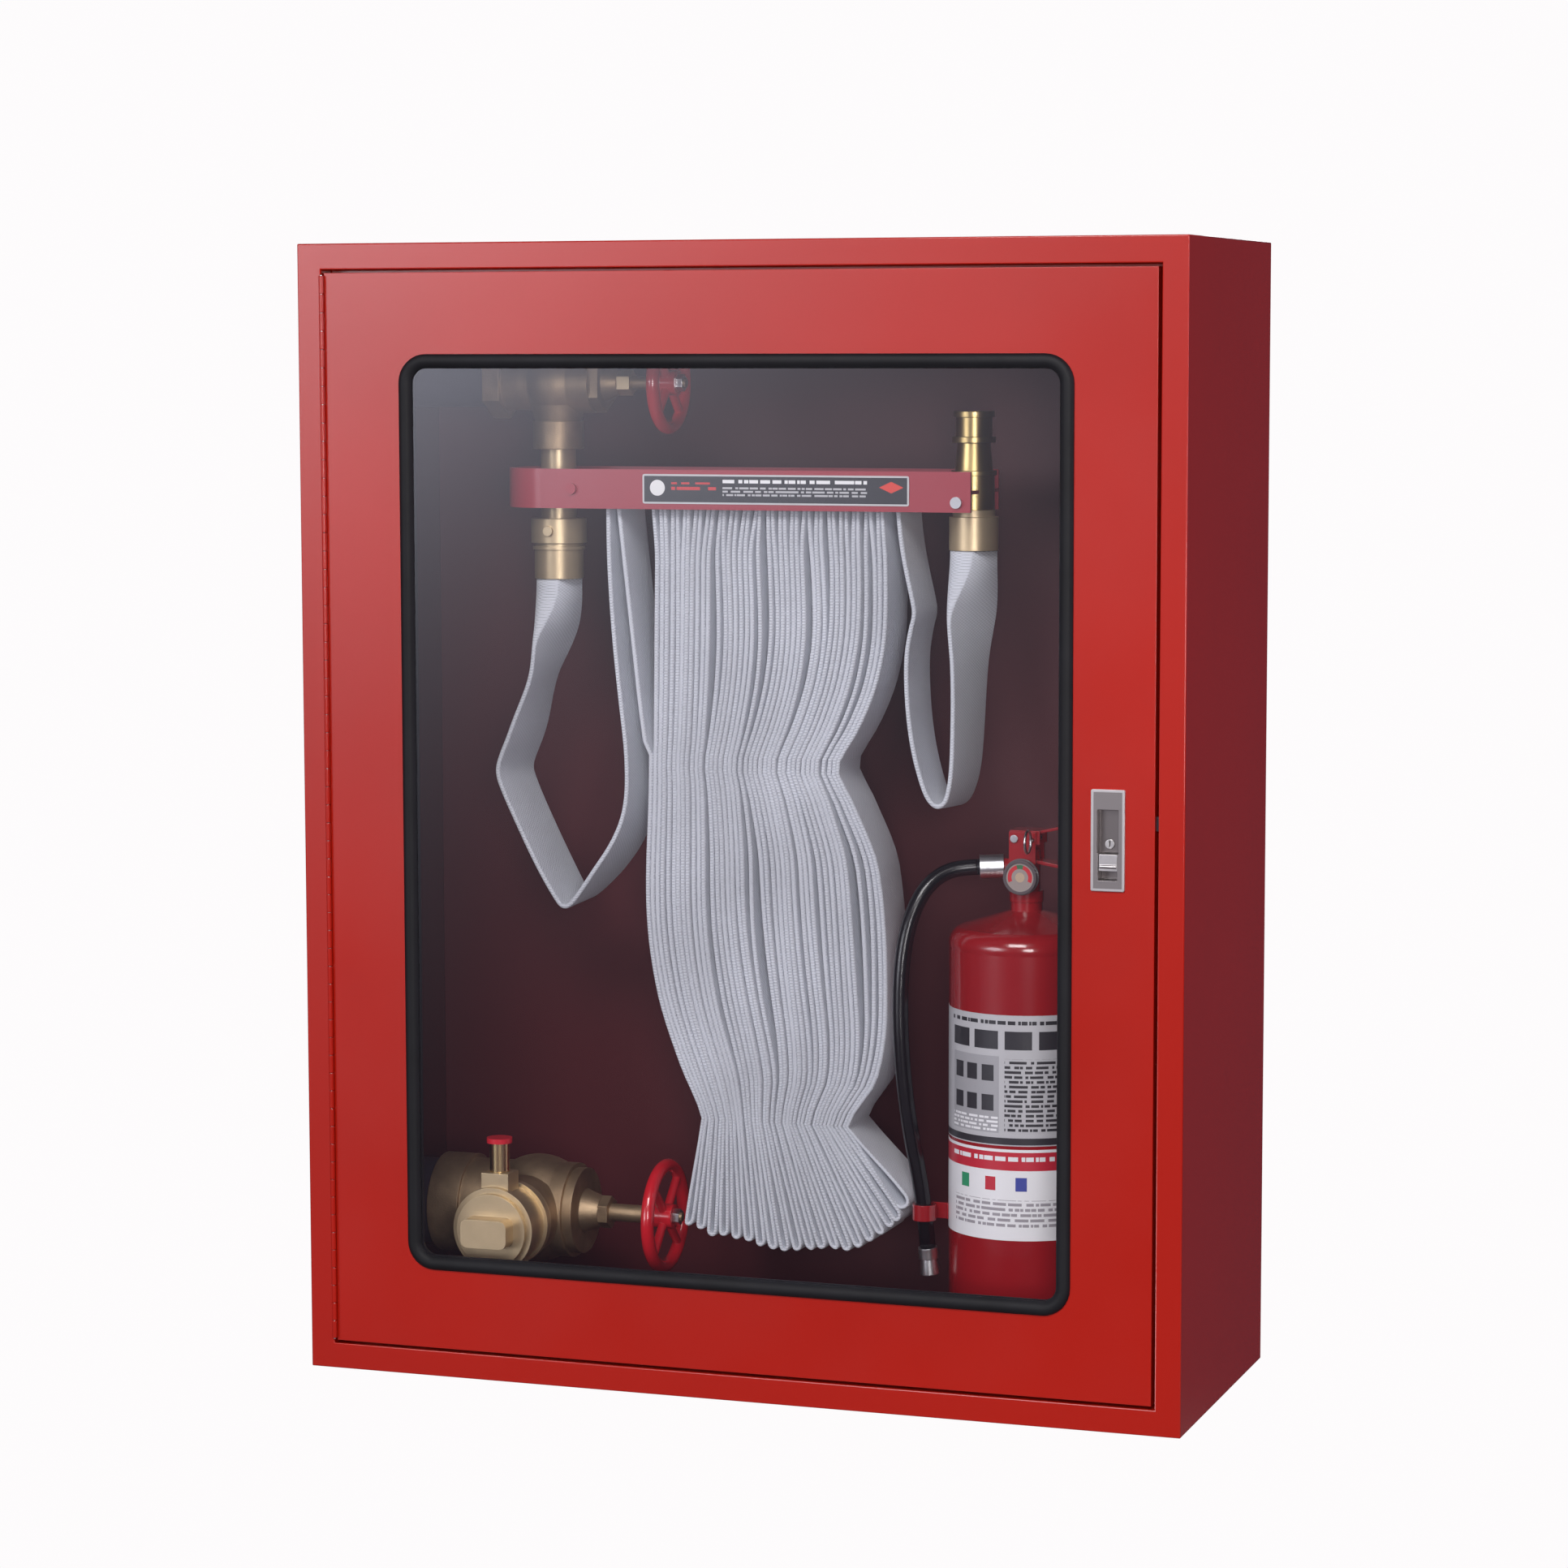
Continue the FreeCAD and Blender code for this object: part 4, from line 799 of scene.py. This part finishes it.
def pack_line():
    """The folded hose as one line: down a strand, round its loop, up the next, over a pin."""
    rows = strand_rows()
    line = []

    def over_pin(pin, lift, gauge, first, last):
        reach = PIN_RAD + gauge / 2
        for step in range(first, last):
            angle = math.pi * (1 - step / ARC_STEPS)
            line.append((pin + reach * math.cos(angle), PIN_Z + lift + reach * math.sin(angle), gauge))

    over_pin(LOOSE_PIN, 4, HOSE_GAUGE, 0, ARC_STEPS)
    loop_depth = 1.15
    for index, row in enumerate(rows):
        going_down = index % 2 == 0
        line += row if going_down else row[::-1]
        if going_down:
            a, b = Vector(row[-1][:2]), Vector(rows[index + 1][-1][:2])
            run = (a - Vector(row[-3][:2])).normalized()
            middle, half = (a + b) / 2, (b - a) / 2
            onward = run * half.length
            for step in range(1, ARC_STEPS):
                angle = math.pi * step / ARC_STEPS
                spot = middle - half * math.cos(angle) + onward * math.sin(angle) * loop_depth
                line.append((spot.x, spot.y, LOOP_GAUGE))
        else:
            last = ARC_STEPS if index < STRANDS - 1 else ARC_STEPS + 1
            over_pin(PINS[index // 2], 0, TOP_GAUGE, 1, last)
    return line


def make_pack(mat):
    """The folded hose as one sheet, whose front edges stand a little in or out, fold by fold."""
    line = pack_line()
    random.seed(11)
    reach = [random.uniform(-2.4, 0.8) for _ in range(STRANDS * 3 + 2)]
    points = [Vector((x * MM, HOSE_Y, z * MM)) for x, z, gauge in line]
    unit_gauge = 0.2
    half_gauge = unit_gauge / 2
    outline = flat_section(1.0, unit_gauge, 6)
    total = len(points)
    verts = []
    width = HOSE_WIDTH - 4.5 * MM
    for index, place in enumerate(points):
        before, after = points[max(index - 1, 0)], points[min(index + 1, total - 1)]
        normal = (after - before).normalized().cross(Vector((0, 1, 0)))
        thick = line[index][2] * MM
        share = index / total * (len(reach) - 2)
        blend = ease(share % 1)
        stand = reach[int(share)] * (1 - blend) + reach[int(share) + 1] * blend
        for u, v in outline:
            side = math.copysign(1, u)
            round_off = (abs(u) - (0.5 - half_gauge)) / half_gauge
            depth = side * (width / 2 - thick / 2 + round_off * thick / 2) + stand * MM
            verts.append(place + Vector((0, depth, 0)) + normal * (v / half_gauge * thick / 2))
    faces = ring_faces(total, len(outline))
    pack = new_piece("hose_folds", verts, faces, mat, "rack", "hose_pack")


def tail(name, node, route, mat, round_end, bends):
    """A flat tail: round where its coupling grips it, flat further along, turned as it hangs."""
    line = nurbs_line([Vector((x * MM, HOSE_Y, z * MM)) for x, z in route], 9)
    total = line_length(line)
    grip, flattening, round_radius, spread_out = 3 * MM, 62 * MM, 20.5 * MM, 14.0

    def section(share):
        from_end = share * total if round_end == 0 else (1 - share) * total
        flat = ease(min(1.0, max(0.0, (from_end - grip) / flattening)))
        outline = []
        for u, v in flat_section(HOSE_WIDTH - 2 * MM, HOSE_GAUGE * MM, 9):
            angle = math.atan2(v * spread_out, u)
            ring = (round_radius * math.cos(angle), round_radius * math.sin(angle))
            outline.append((ring[0] + (u - ring[0]) * flat, ring[1] + (v - ring[1]) * flat))
        return outline

    def twist(share):
        return math.radians(smooth_value(bends, share))

    verts, faces = sweep(line, section, twist)
    obj = new_piece(name, verts, faces, mat, "rack", node)


def extinguisher_hose(mat):
    line = nurbs_line([metres(*place) for place in EXT_HOSE], 6)
    radius, sides = 7 * MM, 20
    angles = [2 * math.pi * step / sides for step in range(sides)]
    section = [(radius * math.cos(angle), radius * math.sin(angle)) for angle in angles]
    verts, faces = sweep(line, lambda share: section, side=Vector((0.3, 1, 0)).normalized())
    obj = new_piece("ext_hose_tube", verts, faces, mat, "cabinet", "ext_hose")


def gasket(mat):
    """Rubber bead round the window: a rounded bulge with a lip against glass and door."""
    half_x, half_z = SEAL_HIGH[0], SEAL_HIGH[2]
    front, back = SEAL_LOW[1], SEAL_HIGH[1]
    width = 12.5 * MM
    groove = width - 3.6 * MM
    corner = 25 * MM
    face = SHELL_FRONT
    profile = [(0, face - 0.2 * MM), (0.4 * MM, face - 1.8 * MM), (2.2 * MM, front + 0.7 * MM),
               (4.6 * MM, front), (7.2 * MM, front + 0.1 * MM), (9.6 * MM, front + 0.9 * MM),
               (11.6 * MM, face - 1.2 * MM), (width, face + 0.4 * MM), (width, face + 1.0 * MM),
               (groove, face + 1.0 * MM), (groove, face + 5.0 * MM), (width, face + 5.0 * MM),
               (width, back - 0.6 * MM), (width - 1.5 * MM, back), (1.5 * MM, back),
               (0, back - 1.0 * MM), (0, face + 2.1 * MM), (5.6 * MM, face + 2.1 * MM),
               (5.6 * MM, face - 0.1 * MM)]
    path = []
    quarter, steps = math.pi / 2, 8
    for quadrant, (sx, sz) in enumerate(((1, 1), (-1, 1), (-1, -1), (1, -1))):
        centre = (sx * (half_x - corner), sz * (half_z - corner))
        for step in range(steps + 1):
            angle = quarter * quadrant + quarter * step / steps
            path.append((centre, (math.cos(angle), math.sin(angle))))
    verts, faces = [], []
    for centre, direction in path:
        for inward, depth in profile:
            reach = corner - inward
            verts.append((centre[0] + direction[0] * reach, depth,
                          centre[1] + direction[1] * reach))
    size, count = len(profile), len(path)
    for row in range(count):
        for column in range(size):
            near, far, after = row * size, (row + 1) % count * size, (column + 1) % size
            faces.append((near + column, near + after, far + after, far + column))
    obj = new_piece("window_seal", verts, faces, mat, "door", "window_gasket")
    obj.data.set_sharp_from_angle(angle=math.radians(40))


def soft_edged(node, name, mat, body, radius):
    """The node's own shape with its long folded edges rounded, as bent and coated sheet has them."""
    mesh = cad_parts[node].data.copy()
    bm = bmesh.new()
    bm.from_mesh(mesh)
    bmesh.ops.remove_doubles(bm, verts=bm.verts, dist=1e-5)
    # the rim against the wall is a ring too thin to merge or round, and stays as it is
    wall_side, long_edge, sharp = 0.1 * MM, 100 * MM, math.radians(50)
    free = [edge for edge in bm.edges if min(vert.co.y for vert in edge.verts) < -wall_side]
    bmesh.ops.dissolve_limit(bm, angle_limit=math.radians(0.5), edges=free,
                             verts=[vert for vert in bm.verts if vert.co.y < -wall_side])
    folds = [edge for edge in bm.edges if len(edge.link_faces) == 2
             and min(vert.co.y for vert in edge.verts) < -wall_side
             and edge.calc_face_angle(0) > sharp and edge.calc_length() > long_edge]
    for face in bm.faces:
        face.smooth = False
    rounded = bmesh.ops.bevel(bm, geom=folds, offset=radius, segments=3, profile=0.5, affect="EDGES",
                              clamp_overlap=True)
    for face in rounded["faces"]:
        face.smooth = True
    bmesh.ops.triangulate(bm, faces=[face for face in bm.faces if len(face.verts) > 4])
    bm.to_mesh(mesh)
    bm.free()
    add_piece(name, mesh, mat, body, node)


# ------------------------------------------------------------------ finishes on the structure's nodes
def paint_node(mat, *names):
    for name in names:
        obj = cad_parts[name]
        obj.data.materials.clear()
        obj.data.materials.append(mat)


def dress():
    """Give every node its finish, and put the hoses, the seal and the folded sheets in place."""
    red = powder_coat("door_red", DOOR_RED, 0.21, coat=0.1)
    shell_red = shell_paint()
    # this darker red, used on the back panel, is painted shade inside the box
    inner = powder_coat("inner_red_painted_shade", INNER_RED_PAINTED_SHADE, 0.5, coat=0.0, grain=0.03, edge=0.0)
    rack_red = powder_coat("rack_red", RACK_RED, 0.3, coat=0.2, grain=0.04, edge=0.0)
    wheel_red = powder_coat("wheel_red", (0.60, 0.012, 0.022), 0.2, scale=500, coat=0.6)
    bottle_red = powder_coat("bottle_red", (0.31, 0.008, 0.011), 0.18, scale=300, coat=0.7)
    dark_pipe_and_latch_shade = powder_coat("pipe_dark_and_latch_shade", (0.035, 0.03, 0.045), 0.4)
    bronze = cast_metal("cast_bronze", (0.40, 0.29, 0.18), 0.48)
    brass = turned_metal("polished_brass", (0.60, 0.47, 0.29), 0.38, 0.75)
    nozzle_brass = turned_metal("nozzle_brass", (0.50, 0.37, 0.16), 0.30)
    plunger = capped_brass()
    steel = turned_metal("bright_steel", (0.6, 0.6, 0.61), 0.28)
    zinc = turned_metal("zinc_plate", (0.70, 0.71, 0.73), 0.32)
    chrome = lock_metal()
    bright_chrome = turned_metal("bright_chrome", (0.62, 0.60, 0.60), 0.3)
    black = rubber("black_rubber", (0.006, 0.006, 0.008), 0.55, 0.25)
    hose_black = rubber("hose_rubber", (0.003, 0.003, 0.004), 0.2)
    jacket = woven_hose()

    soft_edged("cabinet_shell", "shell_folded", shell_red, "cabinet", 1.6 * MM)
    soft_edged("door_panel", "door_folded", red, "door", 1.4 * MM)
    paint_node(red, "hinge_leaf_frame", "hinge_leaf_door")
    soft_edged("back_panel", "back_sheet", inner, "cabinet", 0.3 * MM)
    paint_node(rack_red, "rack_frame", "rack_hub", "nozzle_bracket", "hose_pins")
    paint_node(wheel_red, "upper_handwheel", "lower_handwheel")
    paint_node(bottle_red, "ext_cylinder", "ext_valve", "ext_carry_handle", "ext_squeeze_lever",
               "ext_hose_clip")
    # the inlet pipes are dark grey; the latch bolt gets the same near-black as painted shade in the gap at
    # the lock
    paint_node(dark_pipe_and_latch_shade, "latch_bolt", "upper_inlet_pipe", "lower_inlet_pipe")
    paint_node(bronze, "upper_valve_body", "upper_bonnet", "lower_valve_body", "lower_bonnet", "upper_disc",
               "lower_disc", "upper_stem", "lower_stem")
    paint_node(brass, "upper_packing_nut", "rack_nipple", "outlet_coupling", "outlet_cap", "swivel_ring",
               "hose_inlet_coupling", "hose_outlet_coupling")
    paint_node(nozzle_brass, "nozzle_body", "nozzle_tip")
    paint_node(plunger, "outlet_upper_plunger", "outlet_lower_plunger")
    paint_node(steel, "hinge_pin", "ext_lever_pivot", "ext_safety_pin", "ext_siphon_tube")
    paint_node(rack_screw_heads(), "rack_screws")
    paint_node(zinc, "upper_wheel_nut", "lower_wheel_nut", "ext_hose_ferrule", "ext_nozzle")
    paint_node(chrome, "latch_housing")
    paint_node(bright_chrome, "thumb_slide", "key_cylinder")
    paint_node(black, "pipe_grommets")
    paint_node(pane(), "door_glass")
    paint_node(nameplate(), "rack_nameplate")
    paint_node(bottle_labels(), "ext_labels")
    paint_node(gauge_face(), "ext_gauge")

    # the pairs are places along the tail and degrees of twist
    make_pack(jacket)
    tail("hose_left_tail", "hose_tail_left", LEFT_TAIL, jacket, 0,
         [(0, 26), (0.08, 12), (0.13, 1), (0.2, 8), (0.3, 7), (0.42, 5), (0.52, -6), (0.72, -2), (1, 0)])
    tail("hose_right_tail", "hose_tail_right", RIGHT_TAIL, jacket, 1,
         [(0, 0), (0.5, 0), (0.62, -7), (0.8, -13), (0.9, -26), (1, -32)])
    extinguisher_hose(hose_black)
    gasket(black)


make_camera()
make_studio()
dress()
